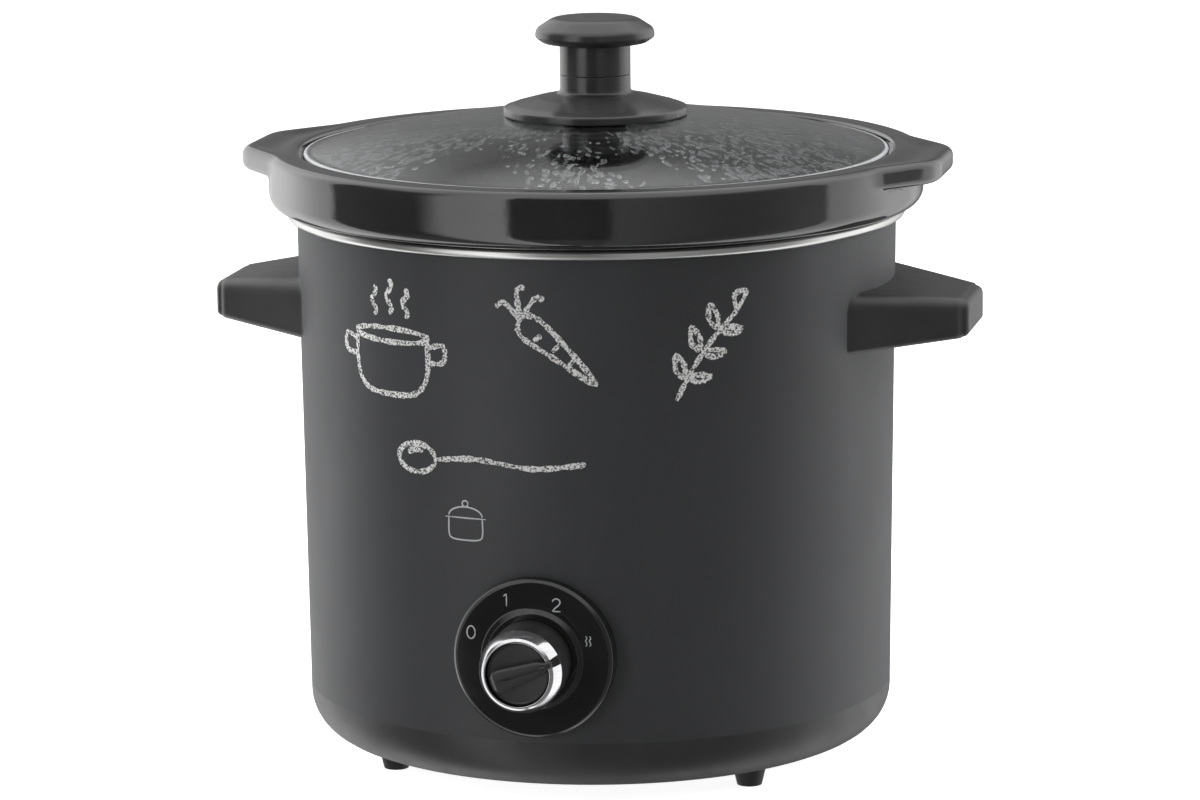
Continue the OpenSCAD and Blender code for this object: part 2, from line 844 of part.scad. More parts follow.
module handle_screws() {
  wall_r = shell_at(handle_screw_z) - shell_t;
  plate_x = sqrt(pow(wall_r - handle_plate_t, 2) - pow(handle_screw_y + screw_head_r, 2));
  lift = sqrt(pow(wall_r, 2) - pow(handle_screw_y, 2)) - plate_x + 0.05;
  thread = lift + handle_screw_len - 1;
  color("#c9c9c9") for (side = [-1, 1]) at_handle_screws(side)
    translate([0, 0, -lift]) pan_screw(handle_screw_r, thread, screw_head_r, screw_head_h);
}

// --- crock ---------------------------------------------------------------------------------------

module crock_outline() {
  foot_z = well_floor_z + 3;
  floor_t = crock_wall + 1.6;
  heel = 16;
  under_z = lip_top + free_gap;
  bulge = 5.5;
  top_round = 2.4;
  draft = 2;
  neck_z = shell_top - 6;
  polygon(concat(
    [[0, foot_z], [crock_r - draft - heel, foot_z]],
    arc(crock_r - draft - heel, foot_z + heel, heel, -90, 0),
    [[crock_r, neck_z], [crock_r, under_z - 2]],
    arc(crock_r + 3, under_z - 3, 3, 180, 90, 5),
    arc(rim_r - bulge, under_z + bulge, bulge, -90, 0),
    arc(rim_r - top_round, rim_top - top_round, top_round, 0, 90, 6),
    arc(ledge_r + 1, rim_top - 1, 1, 90, 180, 4),
    [[ledge_r, ledge_z]],
    arc(crock_ri + 2.5, ledge_z - 2.5, 2.5, 90, 180, 5),
    arc(crock_ri - draft - heel + 3, foot_z + floor_t + heel - 3, heel - 3, 0, -90),
    [[0, foot_z + floor_t]]));
}

// half of an ear's outline in plan, from the rim round to the tip, set in by inset
function ear_side(inset) =
  let (
    root = [rim_r * cos(ear_angle), rim_r * sin(ear_angle) - inset],
    mid = [rim_r + ear_reach - ear_corner, ear_tip_w / 2 - ear_corner],
    reach = norm(root - mid),
    round_r = ear_corner - inset,
    start = atan2(root[1] - mid[1], root[0] - mid[0]) - acos(round_r / reach)
  )
  concat([[60, root[1]], root], arc(mid[0], mid[1], round_r, start, 0, 8));

module ear(inset, from, to) {
  side = ear_side(inset);
  count = len(side);
  translate([0, 0, from]) linear_extrude(height = to - from)
    polygon(concat(side, [for (i = [count - 1:-1:0]) [side[i][0], -side[i][1]]]));
}

module crock() {
  edge = 2;
  color("#101010") union() {
    rotate_extrude($fn = 180) crock_outline();
    difference() {
      for (turn = [0, 180]) rotate([0, 0, turn]) {
        ear(edge, rim_top - ear_t, rim_top);
        ear(0, rim_top - ear_t + edge, rim_top - edge);
      }
      translate([0, 0, rim_top - ear_t - 1])
        cylinder(r = rim_r - ear_bite, h = ear_t + 2, $fn = 180);
    }
  }
}

// --- lid ------------------------------------------------------------------------------------------

module glass_outline() {
  steps = 16;
  span = glass_edge_r - glass_hole_r;
  polygon(concat(
    [for (i = [0:steps]) let (r = glass_hole_r + span * i / steps) [r, dome_h(r)]],
    arc(glass_edge_r, glass_z + glass_t / 2, glass_t / 2, 90, -90, 8),
    [for (i = [steps:-1:0]) let (r = glass_hole_r + span * i / steps) [r, dome_h(r) - glass_t]]));
}

module lid_glass() {
  color("#8f9497", 0.5) rotate_extrude($fn = 180) glass_outline();
}

module knob_base() {
  edge = 1;
  color("#262626") rotate_extrude($fn = 120) polygon([
    [stem_r - stem_wall, glass_top_z + slip], [disc_r - disc_foot, disc_z + slip],
    [disc_r - disc_foot, disc_z], [disc_r - edge, disc_z], [disc_r, disc_z + edge],
    [disc_r, disc_z + disc_edge_h], [disc_r - edge, disc_z + disc_edge_h + 0.8 * edge],
    [stem_r + 2 * edge, stem_z - edge], [stem_r, stem_z + edge],
    [stem_r, part_line_z - part_groove], [stem_r - part_groove, part_line_z],
    [stem_r - stem_wall, part_line_z]]);
}

module lid_knob() {
  round_r = 3.4;
  crown_r = 6;
  post_r = stem_r - stem_wall - slip;
  color("#262626") difference() {
    rotate_extrude($fn = 120) polygon(concat(
      [[0, insert_z], [post_r, insert_z], [post_r, part_line_z],
       [stem_r - part_groove, part_line_z], [stem_r, part_line_z + part_groove],
       [stem_r, cap_z - 1], [stem_r + 1, cap_z], [cap_r - round_r, cap_z]],
      arc(cap_r - round_r, cap_z + round_r, round_r, -60, 30, 6),
      arc(cap_r - crown_r - 2, knob_top - crown_r - 0.4, crown_r, 30, 90, 5),
      [[0, knob_top]]));
    translate([0, 0, insert_z - 1]) cylinder(r = lid_screw_r + insert_wall, h = insert_len + 1);
  }
}

module knob_insert() {
  color("#c8a55a") ring(lid_screw_r + insert_wall, lid_screw_r, insert_z, insert_len);
}

module lid_retainer() {
  color("#1e1e1e") difference() {
    union() {
      translate([0, 0, retainer_top - retainer_h]) {
        cylinder(r = retainer_neck_r, h = retainer_h);
        cylinder(r = retainer_r, h = retainer_flange_t);
      }
    }
    translate([0, 0, retainer_top - retainer_h - 1]) {
      cylinder(r = lid_screw_r + slip, h = retainer_h + 2);
      cylinder(r = screw_head_r + 1, h = screw_seat + 1);
    }
  }
}

module lid_screw() {
  start = retainer_top - retainer_h + screw_seat;
  thread = insert_z + insert_len - 2 - start;
  color("#c9c9c9") translate([0, 0, start])
    pan_screw(lid_screw_r, thread, screw_head_r, screw_head_h);
}

placed() base();
placed() feet();
placed() outer_shell();
placed() heating_well();
placed() heater_band();
placed() band_bolts();
placed() heat_shield();
placed() centre_stud();
placed() shield_nut();
placed() centre_washer();
placed() centre_nut();
placed() thermal_fuse();
placed() fuse_strap();
placed() earth_lug();
placed() earth_screw();
placed() terminal_block();
placed() terminal_screws();
placed() cord_gland();
placed() supply_leads();
placed() switch_leads();
placed() switch_body();
placed() switch_cover();
placed() switch_contacts();
placed() switch_nut();
placed() bezel();
placed() handle_left();
placed() handle_right();
placed() handle_plates();
placed() handle_screws();
placed() switch_shaft();
placed() switch_cam();
placed() dial_knob();
placed() dial_ring();
placed() knob_clip();
placed() crock();
placed() lid_glass();
placed() lid_knob();
placed() knob_base();
placed() knob_insert();
placed() lid_retainer();
placed() lid_screw();
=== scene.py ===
"""Looks for a round countertop slow cooker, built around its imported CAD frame."""

import functools
import math
import random

import bmesh
import bpy
from bpy.props import BoolProperty, FloatProperty, FloatVectorProperty, IntProperty, PointerProperty
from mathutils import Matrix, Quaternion, Vector, noise


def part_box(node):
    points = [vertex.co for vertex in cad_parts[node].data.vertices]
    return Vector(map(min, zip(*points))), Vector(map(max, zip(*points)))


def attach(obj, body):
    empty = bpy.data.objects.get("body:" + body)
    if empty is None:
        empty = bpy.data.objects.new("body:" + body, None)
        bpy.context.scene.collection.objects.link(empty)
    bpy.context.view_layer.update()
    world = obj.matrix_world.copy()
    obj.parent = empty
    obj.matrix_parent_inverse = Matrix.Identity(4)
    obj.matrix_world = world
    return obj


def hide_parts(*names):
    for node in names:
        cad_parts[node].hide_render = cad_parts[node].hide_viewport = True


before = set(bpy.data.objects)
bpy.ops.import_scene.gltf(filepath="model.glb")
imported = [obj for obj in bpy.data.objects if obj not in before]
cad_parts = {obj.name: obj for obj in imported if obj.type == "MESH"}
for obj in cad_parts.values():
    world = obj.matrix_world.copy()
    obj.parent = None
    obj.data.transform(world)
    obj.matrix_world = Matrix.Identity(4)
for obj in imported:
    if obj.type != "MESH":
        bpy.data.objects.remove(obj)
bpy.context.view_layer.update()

bl_info = {
    "name": "Slow Cooker Looks",
    "version": (1, 0, 0),
    "blender": (4, 5, 0),
    "location": "3D View > Sidebar > Slow Cooker",
    "description": "Builds the finished pieces, finishes and studio for a round slow cooker",
    "category": "Object",
}

MM = 0.001
# gap that the crock hangs over the well's lip
LIFT = 0.4 * MM


# --- sizes read from the frame ------------------------------------------------------------------


@functools.lru_cache(maxsize=None)
def span(node):
    """Lowest and highest corner of a node, measured once."""
    low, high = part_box(node)
    return low.freeze(), high.freeze()


def reach(node):
    """Half the width of a round node."""
    low, high = span(node)
    return (high.x - low.x) / 2


def axis_point():
    low, high = span("outer_shell")
    return Vector(((low.x + high.x) / 2, (low.y + high.y) / 2, 0))


AXIS = axis_point()
SHELL_TOP_R = reach("outer_shell")
SHELL_FOOT_R = reach("base")
SHELL_LOW = span("outer_shell")[0].z
SHELL_HIGH = span("outer_shell")[1].z
DIAL_Z = (span("bezel")[0].z + span("bezel")[1].z) / 2


def shell_radius(z):
    share = (z - SHELL_LOW) / (SHELL_HIGH - SHELL_LOW)
    return SHELL_FOOT_R + (SHELL_TOP_R - SHELL_FOOT_R) * share


def depth_of(y):
    """Distance of a point on the control's axis in front of the cooker's upright axis."""
    return AXIS.y - y


# --- settings -----------------------------------------------------------------------------------

def length(name, description, value, low=0.0):
    return FloatProperty(
        name=name, description=description, default=value * MM, min=low, unit="LENGTH", precision=4)


def colour(name, description, value):
    return FloatVectorProperty(
        name=name, description=description, default=value, subtype="COLOR", size=3, min=0, max=1)


class CookerCrockSettings(bpy.types.PropertyGroup):
    """Sizes of the stoneware crock."""
    wall: length("Wall", "Thickness of the stoneware", 5.2)
    body: length("Body", "Radius of the crock below its collar", 104.5)
    ledge_depth: length("Ledge depth", "Depth of the lid's ledge below the rim", 5.0)
    rim_width: length("Rim width", "Width of the rim's top", 11.5)
    ear_thickness: length("Ear thickness", "Thickness of each ear", 9.0)
    ear_tip_width: length("Ear tip width", "Width of an ear at its tip", 66.0)
    ear_corner: length("Ear corner", "Radius of an ear's corners", 18.0)
    ear_dish: length("Ear dish", "How far the ear's top is dished", 0.9)
    ear_spread: FloatProperty(
        name="Ear spread", description="Half the angle an ear takes on the rim",
        default=math.radians(22), subtype="ANGLE")


class CookerLidSettings(bpy.types.PropertyGroup):
    """Sizes of the glass lid and its knob."""
    glass: length("Glass", "Thickness of the glass", 4.0)
    hole: length("Hole", "Radius of the hole for the knob's screw", 5.0)
    stem: length("Stem", "Radius of the knob's stem", 13.6)
    parting: length("Parting line", "Height of the knob's parting line over its cone", 6.6)
    cap_height: length("Cap height", "Height of the knob's cap", 9.6)
    drops: IntProperty(
        name="Drops", description="Number of drops under the glass", default=3800, min=0)
    seed: IntProperty(name="Seed", description="Seed of the drops", default=7)


class CookerHandleSettings(bpy.types.PropertyGroup):
    """Sizes of the side handles."""
    tip_width: length("Tip width", "Width of a handle at its end", 40.0)
    tip_height: length("Tip height", "Height of a handle at its end", 14.5)
    slope: length("Slope", "How far a handle's top falls to its end", 5.5)
    root_soft: length("Root edge", "Radius of the top edges at the shell", 7.0)
    tip_soft: length("Tip edge", "Radius of the top edges at the end", 4.6)
    floor_soft: length("Lower edge", "Radius of the lower edges", 2.6)
    end_soft: length("End edge", "Radius round the end face", 3.4)


class CookerControlSettings(bpy.types.PropertyGroup):
    """Sizes of the rotary control."""
    boss: length("Boss", "Radius of the raised boss behind the knob", 17.6)
    boss_rise: length("Boss rise", "How far the boss stands out of the bezel", 1.5)
    ring_wall: length("Ring wall", "Thickness of the chrome ring", 1.5)
    ring_taper: length("Ring taper", "How much smaller the ring's front is", 2.8)
    gap: length("Pointer gap", "Gap in the ring for the pointer", 3.0)
    bar: length("Grip bar", "Width of the bar across the knob", 8.5)
    mark_height: length("Mark height", "Height of the numbers", 4.8)
    mark_stroke: length("Mark stroke", "Width of the numbers' strokes", 0.5)
    pointer: FloatProperty(
        name="Pointer", description="Angle of the pointer above the right",
        default=math.radians(20), subtype="ANGLE")


class CookerFinishSettings(bpy.types.PropertyGroup):
    """Colours of the finishes."""
    paint: colour("Paint", "Chalkboard paint on the shell", (0.031, 0.032, 0.034))
    plastic: colour("Plastic", "Moulded plastic", (0.026, 0.026, 0.026))
    glaze: colour("Glaze", "Glaze on the crock", (0.016, 0.016, 0.016))
    steel: colour("Steel", "Bare steel of the well and its lip", (0.62, 0.62, 0.61))
    chalk: colour("Chalk", "Chalk drawing on the shell", (0.88, 0.88, 0.86))
    draw_chalk: BoolProperty(
        name="Chalk drawing", description="Draw plain chalk sketches on the shell", default=True)


class CookerStageSettings(bpy.types.PropertyGroup):
    """Camera and studio."""
    distance: FloatProperty(
        name="Distance", description="Camera's distance", default=2.0, unit="LENGTH")
    azimuth: FloatProperty(
        name="Azimuth", description="Camera's turn about the cooker",
        default=math.radians(12.3), subtype="ANGLE")
    elevation: FloatProperty(
        name="Elevation", description="Camera's height angle",
        default=math.radians(10.8), subtype="ANGLE")
    roll: FloatProperty(
        name="Roll", description="Camera's roll", default=math.radians(0.54), subtype="ANGLE")
    target: length("Target", "Height the camera looks at", 136.3)
    aside: length("Aside", "How far to the right the camera looks", 0.65)
    lens: FloatProperty(name="Lens", description="Focal length in millimetres", default=154.3)


# --- mesh helpers -------------------------------------------------------------------------------

def add_piece(name, points, faces, crease=35):
    """A mesh object from points and faces, smooth but for edges sharper than crease degrees."""
    mesh = bpy.data.meshes.new(name)
    mesh.from_pydata([tuple(p) for p in points], [], faces)
    work = bmesh.new()
    work.from_mesh(mesh)
    bmesh.ops.remove_doubles(work, verts=work.verts, dist=1e-7)
    bmesh.ops.recalc_face_normals(work, faces=work.faces)
    work.to_mesh(mesh)
    work.free()
    mesh.shade_smooth()
    mesh.set_sharp_from_angle(angle=math.radians(crease))
    piece = bpy.data.objects.new(name, mesh)
    bpy.context.scene.collection.objects.link(piece)
    return piece


def arc(cx, cy, radius, start, end, steps=8):
    """Points of an arc between two angles in degrees."""
    angles = [math.radians(start + (end - start) * i / steps) for i in range(steps + 1)]
    return [(cx + radius * math.cos(a), cy + radius * math.sin(a)) for a in angles]


def rounded(corners, steps=7):
    """A line through (x, y, radius) corners, each turned into an arc of its radius."""
    line = []
    for i, (x, y, radius) in enumerate(corners):
        here = Vector((x, y))
        if radius <= 0 or i in (0, len(corners) - 1):
            line.append((x, y))
            continue
        back = (Vector(corners[i - 1][:2]) - here).normalized()
        ahead = (Vector(corners[i + 1][:2]) - here).normalized()
        half = back.angle(ahead) / 2
        run = radius / math.tan(half)
        centre = here + (back + ahead).normalized() * (radius / math.sin(half))
        first, last = here + back * run - centre, here + ahead * run - centre
        for k in range(steps + 1):
            step = first.lerp(last, k / steps).normalized() * radius
            line.append(tuple(centre + step))
    return line


def lathe(name, profile, steps=240, place=None, closed=False, crease=35):
    """A turned piece from (radius, height) points, stood on the cooker's axis unless placed."""
    place = place or (lambda x, y, z: (AXIS.x + x, AXIS.y + y, z))
    count = len(profile)
    points = []
    for r, z in profile:
        for k in range(steps):
            a = 2 * math.pi * k / steps
            points.append(place(r * math.cos(a), r * math.sin(a), z))
    faces = []
    rows = count if closed else count - 1
    for i in range(rows):
        j = (i + 1) % count
        for k in range(steps):
            n = (k + 1) % steps
            faces.append((i * steps + k, i * steps + n, j * steps + n, j * steps + k))
    return add_piece(name, points, faces, crease)


def at_control(x, y, depth):
    """A point beside the control's axis, at a depth in front of the cooker's axis."""
    return (AXIS.x + x, AXIS.y - depth, DIAL_Z + y)


def grid_faces(rows, columns, wrap=True):
    """Quads between rows of points, joined round into rings unless wrap is off."""
    faces = []
    for i in range(rows - 1):
        for k in range(columns if wrap else columns - 1):
            n = (k + 1) % columns
            faces.append((i * columns + k, i * columns + n,
                          (i + 1) * columns + n, (i + 1) * columns + k))
    return faces


def finish_piece(piece, material, body, nodes=()):
    """Gives a piece its finish and body, and hides the CAD nodes it stands for."""
    piece.data.materials.clear()
    piece.data.materials.append(material)
    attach(piece, body)
    if nodes:
        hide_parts(*nodes)
    return piece


def soften(node, crease=32, bevel=0.0):
    """Smooth shading and a small edge radius on a CAD node, by modifiers alone."""
    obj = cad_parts[node]
    if "custom_normal" in obj.data.attributes:
        obj.data.attributes.remove(obj.data.attributes["custom_normal"])
    obj.data.shade_smooth()
    weld = obj.modifiers.new("Weld", "WELD")
    weld.merge_threshold = 1e-6
    if bevel:
        edge = obj.modifiers.new("Edge radius", "BEVEL")
        edge.width = bevel
        edge.segments = 2
        edge.limit_method = "ANGLE"
        edge.angle_limit = math.radians(40)
        edge.use_clamp_overlap = True
    split = obj.modifiers.new("Crease", "EDGE_SPLIT")
    split.split_angle = math.radians(crease)
    return obj


# --- shared shader groups -----------------------------------------------------------------------

def new_group(name, inputs, outputs):
    """An empty shader group with named sockets."""
    tree = bpy.data.node_groups.new(name, "ShaderNodeTree")
    for label, kind, value in inputs:
        socket = tree.interface.new_socket(name=label, in_out="INPUT", socket_type=kind)
        socket.default_value = value
    for label, kind in outputs:
        tree.interface.new_socket(name=label, in_out="OUTPUT", socket_type=kind)
    start = tree.nodes.new("NodeGroupInput")
    end = tree.nodes.new("NodeGroupOutput")
    start.location, end.location = (-900, 0), (500, 0)
    return tree, start, end


def add_node(tree, kind, x, y, **values):
    node = tree.nodes.new(kind)
    node.location = (x, y)
    for key, value in values.items():
        setattr(node, key, value)
    return node


def noise_node(tree, x, y, detail, rough=0.5):
    node = add_node(tree, "ShaderNodeTexNoise", x, y)
    node.inputs["Detail"].default_value = detail
    node.inputs["Roughness"].default_value = rough
    return node


def map_range(tree, x, y, low, high):
    node = add_node(tree, "ShaderNodeMapRange", x, y)
    node.inputs["From Min"].default_value = low
    node.inputs["From Max"].default_value = high
    return node


def group_grain():
    """Fine moulded or sprayed texture with a slow unevenness in tone."""
    tree, start, end = new_group(
        "Moulded grain",
        [("Grain Scale", "NodeSocketFloat", 2400.0), ("Mottle Scale", "NodeSocketFloat", 22.0)],
        [("Height", "NodeSocketFloat"), ("Mottle", "NodeSocketFloat")])
    place = add_node(tree, "ShaderNodeTexCoord", -1100, 200)
    fine = noise_node(tree, -600, 250, 3.0)
    slow = noise_node(tree, -600, -50, 4.0, 0.6)
    spread = map_range(tree, -300, -50, 0.35, 0.68)
    for texture, label in ((fine, "Grain Scale"), (slow, "Mottle Scale")):
        tree.links.new(place.outputs["Object"], texture.inputs["Vector"])
        tree.links.new(start.outputs[label], texture.inputs["Scale"])
    tree.links.new(fine.outputs["Fac"], end.inputs["Height"])
    tree.links.new(slow.outputs["Fac"], spread.inputs["Value"])
    tree.links.new(spread.outputs["Result"], end.inputs["Mottle"])
    return tree


def group_smudge():
    """Faint handling marks and dust that change the gloss."""
    tree, start, end = new_group(
        "Handling smudge",
        [("Scale", "NodeSocketFloat", 30.0), ("Stretch", "NodeSocketFloat", 1.0)],
        [("Mask", "NodeSocketFloat")])
    place = add_node(tree, "ShaderNodeTexCoord", -1300, 200)
    shape = add_node(tree, "ShaderNodeCombineXYZ", -1100, 0)
    shape.inputs["X"].default_value = 1.0
    shape.inputs["Y"].default_value = 1.0
    scaled = add_node(tree, "ShaderNodeVectorMath", -900, 200, operation="MULTIPLY")
    clouds = noise_node(tree, -600, 200, 6.0, 0.62)
    clouds.inputs["Distortion"].default_value = 0.6
    spread = map_range(tree, -300, 200, 0.38, 0.72)
    tree.links.new(place.outputs["Object"], scaled.inputs[0])
    tree.links.new(start.outputs["Stretch"], shape.inputs["Z"])
    tree.links.new(shape.outputs["Vector"], scaled.inputs[1])
    tree.links.new(scaled.outputs["Vector"], clouds.inputs["Vector"])
    tree.links.new(start.outputs["Scale"], clouds.inputs["Scale"])
    tree.links.new(clouds.outputs["Fac"], spread.inputs["Value"])
    tree.links.new(spread.outputs["Result"], end.inputs["Mask"])
    return tree


def group_turned():
    """Fine lines left by spinning or brushing, running round the upright axis."""
    tree, start, end = new_group(
        "Turned lines",
        [("Line Scale", "NodeSocketFloat", 900.0)],
        [("Height", "NodeSocketFloat"), ("Tone", "NodeSocketFloat")])
    place = add_node(tree, "ShaderNodeTexCoord", -1300, 200)
    squash = add_node(tree, "ShaderNodeVectorMath", -1000, 200, operation="MULTIPLY")
    squash.inputs[1].default_value = (0.03, 0.03, 1.0)
    lines = noise_node(tree, -700, 200, 4.0, 0.7)
    tone = map_range(tree, -300, 0, 0.3, 0.75)
    tree.links.new(place.outputs["Object"], squash.inputs[0])
    tree.links.new(squash.outputs["Vector"], lines.inputs["Vector"])
    tree.links.new(start.outputs["Line Scale"], lines.inputs["Scale"])
    tree.links.new(lines.outputs["Fac"], end.inputs["Height"])
    tree.links.new(lines.outputs["Fac"], tone.inputs["Value"])
    tree.links.new(tone.outputs["Result"], end.inputs["Tone"])
    return tree


GROUP_MAKERS = {
    "Moulded grain": group_grain,
    "Handling smudge": group_smudge,
    "Turned lines": group_turned,
}


def shared(name):
    return bpy.data.node_groups.get(name) or GROUP_MAKERS[name]()


# --- finishes -----------------------------------------------------------------------------------

def blank_material(name):
    """A material with its shader ready, and nothing linked."""
    material = bpy.data.materials.new(name)
    material.use_nodes = True
    tree = material.node_tree
    return material, tree, tree.nodes["Principled BSDF"]


def place_group(tree, name, x, y, **values):
    node = add_node(tree, "ShaderNodeGroup", x, y, node_tree=shared(name))
    for label, value in values.items():
        node.inputs[label.replace("_", " ")].default_value = value
    return node


def vary_colour(tree, shader, mask, low, high):
    """Base colour that moves between two tones with a mask."""
    mix = add_node(tree, "ShaderNodeMix", -350, 300, data_type="RGBA")
    mix.inputs["A"].default_value = (*low, 1)
    mix.inputs["B"].default_value = (*high, 1)
    tree.links.new(mask, mix.inputs["Factor"])
    tree.links.new(mix.outputs["Result"], shader.inputs["Base Color"])
    return mix


def vary_roughness(tree, shader, mask, low, high):
    """Roughness that moves between two values with a mask."""
    spread = add_node(tree, "ShaderNodeMapRange", -350, 0)
    spread.inputs["To Min"].default_value = low
    spread.inputs["To Max"].default_value = high
    tree.links.new(mask, spread.inputs["Value"])
    tree.links.new(spread.outputs["Result"], shader.inputs["Roughness"])
    return spread


def add_bump(tree, shader, height, strength, distance):
    bump = add_node(tree, "ShaderNodeBump", -350, -300)
    bump.inputs["Strength"].default_value = strength
    bump.inputs["Distance"].default_value = distance
    tree.links.new(height, bump.inputs["Height"])
    tree.links.new(bump.outputs["Normal"], shader.inputs["Normal"])
    return bump


def scaled(tone, share):
    return tuple(min(1.0, c * share) for c in tone)


def moulded(name, tone, rough=(0.38, 0.5), grain=2400.0, depth=0.00004, strength=0.35, mottle=1.35):
    """Moulded plastic or rubber with its own grain, uneven gloss and faint handling marks."""
    material, tree, shader = blank_material(name)
    grain_node = place_group(tree, "Moulded grain", -700, 300, Grain_Scale=grain)
    smudge = place_group(tree, "Handling smudge", -700, 0, Scale=34.0)
    mask = grain_node.outputs["Mottle"]
    vary_colour(tree, shader, mask, scaled(tone, 0.85), scaled(tone, mottle))
    vary_roughness(tree, shader, smudge.outputs["Mask"], *rough)
    add_bump(tree, shader, grain_node.outputs["Height"], strength, depth)
    return material


def metal(name, tone, rough=(0.22, 0.36), lines=900.0, strength=0.25):
    """Bare or plated metal with fine lines and uneven gloss."""
    material, tree, shader = blank_material(name)
    turned = place_group(tree, "Turned lines", -700, 300, Line_Scale=lines)
    smudge = place_group(tree, "Handling smudge", -700, 0, Scale=45.0)
    vary_colour(tree, shader, turned.outputs["Tone"], scaled(tone, 0.86), scaled(tone, 1.08))
    vary_roughness(tree, shader, smudge.outputs["Mask"], *rough)
    add_bump(tree, shader, turned.outputs["Height"], strength, 0.00001)
    shader.inputs["Metallic"].default_value = 1.0
    return material


def chalkboard_paint(tone):
    """Matt black chalkboard paint: fine sprayed tooth with a haze of wiped chalk."""
    material, tree, shader = blank_material("chalkboard_paint")
    grain_node = place_group(
        tree, "Moulded grain", -900, 300, Grain_Scale=3200.0, Mottle_Scale=9.0)
    haze = place_group(tree, "Handling smudge", -900, 0, Scale=16.0, Stretch=0.55)
    vary_colour(tree, shader, haze.outputs["Mask"], tone, scaled(tone, 1.28))
    vary_roughness(tree, shader, grain_node.outputs["Mottle"], 0.5, 0.58)
    add_bump(tree, shader, grain_node.outputs["Height"], 0.3, 0.00003)
    shader.inputs["Specular IOR Level"].default_value = 0.5
    return material


def glaze(tone):
    """Glossy black stoneware glaze: a slow ripple, an uneven tone and uneven gloss."""
    material, tree, shader = blank_material("crock_glaze")
    ripple = place_group(tree, "Moulded grain", -900, -300, Grain_Scale=110.0, Mottle_Scale=16.0)
    smudge = place_group(tree, "Handling smudge", -900, 0, Scale=26.0)
    vary_colour(tree, shader, ripple.outputs["Mottle"], tone, scaled(tone, 1.7))
    vary_roughness(tree, shader, smudge.outputs["Mask"], 0.05, 0.11)
    add_bump(tree, shader, ripple.outputs["Height"], 0.16, 0.0005)
    shader.inputs["Coat Weight"].default_value = 0.5
    shader.inputs["Coat Roughness"].default_value = 0.03
    return material


def lid_glass_finish():
    """Tempered glass with a faint ripple and a breath of steam that dulls it in patches."""
    material, tree, shader = blank_material("lid_glass")
    haze = place_group(tree, "Handling smudge", -900, 0, Scale=40.0)
    ripple = place_group(tree, "Moulded grain", -900, -300, Grain_Scale=60.0)
    vary_roughness(tree, shader, haze.outputs["Mask"], 0.0, 0.05)
    add_bump(tree, shader, ripple.outputs["Height"], 0.04, 0.0005)
    shader.inputs["Base Color"].default_value = (0.93, 0.95, 0.95, 1)
    shader.inputs["Transmission Weight"].default_value = 1.0
    shader.inputs["IOR"].default_value = 1.5
    return material


def water_finish():
    """Drops of water under the lid, slightly milky."""
    material, tree, shader = blank_material("condensed_water")
    ripple = place_group(tree, "Moulded grain", -900, -300, Grain_Scale=900.0)
    smudge = place_group(tree, "Handling smudge", -900, 0, Scale=300.0)
    vary_roughness(tree, shader, smudge.outputs["Mask"], 0.02, 0.12)
    add_bump(tree, shader, ripple.outputs["Height"], 0.1, 0.0001)
    shader.inputs["Base Color"].default_value = (0.86, 0.87, 0.88, 1)
    shader.inputs["Transmission Weight"].default_value = 0.84
    shader.inputs["IOR"].default_value = 1.33
    return material


def steam_and_sheen_finish():
    """A thin film of steam, in fine beads, made thicker towards the left and right of the lid as a
    painted reflection that makes the sides of the glass read paler.
    """
    material, tree, shader = blank_material("steam_film_and_sheen")
    place = add_node(tree, "ShaderNodeTexCoord", -1500, 0)
    split = add_node(tree, "ShaderNodeSeparateXYZ", -1300, -200)
    # painted reflection: the film thickens with distance along X, so the lid's left and right read
    # paler where the glass reflects the studio
    side = add_node(tree, "ShaderNodeMath", -1100, -200, operation="ABSOLUTE")
    thick = map_range(tree, -900, -200, 0.02, 0.11)
    thick.inputs["To Min"].default_value = 0.04
    thick.inputs["To Max"].default_value = 0.13
    smudge = place_group(tree, "Handling smudge", -1100, 100, Scale=26.0)
    film = add_node(tree, "ShaderNodeMath", -650, -100, operation="MULTIPLY")
    beads = place_group(tree, "Moulded grain", -900, 400, Grain_Scale=700.0)
    tree.links.new(place.outputs["Object"], split.inputs["Vector"])
    tree.links.new(split.outputs["X"], side.inputs[0])
    tree.links.new(side.outputs["Value"], thick.inputs["Value"])
    tree.links.new(thick.outputs["Result"], film.inputs[0])
    tree.links.new(smudge.outputs["Mask"], film.inputs[1])
    tree.links.new(film.outputs["Value"], shader.inputs["Alpha"])
    vary_colour(tree, shader, beads.outputs["Mottle"], (0.62, 0.63, 0.64), (0.8, 0.81, 0.82))
    add_bump(tree, shader, beads.outputs["Height"], 0.6, 0.0003)
    shader.inputs["Roughness"].default_value = 0.45
    return material


def chalk_finish(name, tone, cover=(0.4, 0.52), scale=1300.0):
    """Chalk or thin print that sits on the high spots, so that the ground shows through."""
    material, tree, shader = blank_material(name)
    place = add_node(tree, "ShaderNodeTexCoord", -1100, 0)
    specks = noise_node(tree, -900, 0, 3.0, 0.65)
    specks.inputs["Scale"].default_value = scale
    cover_node = map_range(tree, -600, -100, *cover)
    tree.links.new(place.outputs["Object"], specks.inputs["Vector"])
    tree.links.new(specks.outputs["Fac"], cover_node.inputs["Value"])
    tree.links.new(cover_node.outputs["Result"], shader.inputs["Alpha"])
    vary_colour(tree, shader, specks.outputs["Fac"], scaled(tone, 0.8), scaled(tone, 1.15))
    add_bump(tree, shader, specks.outputs["Fac"], 0.5, 0.0002)
    shader.inputs["Roughness"].default_value = 0.95
    return material


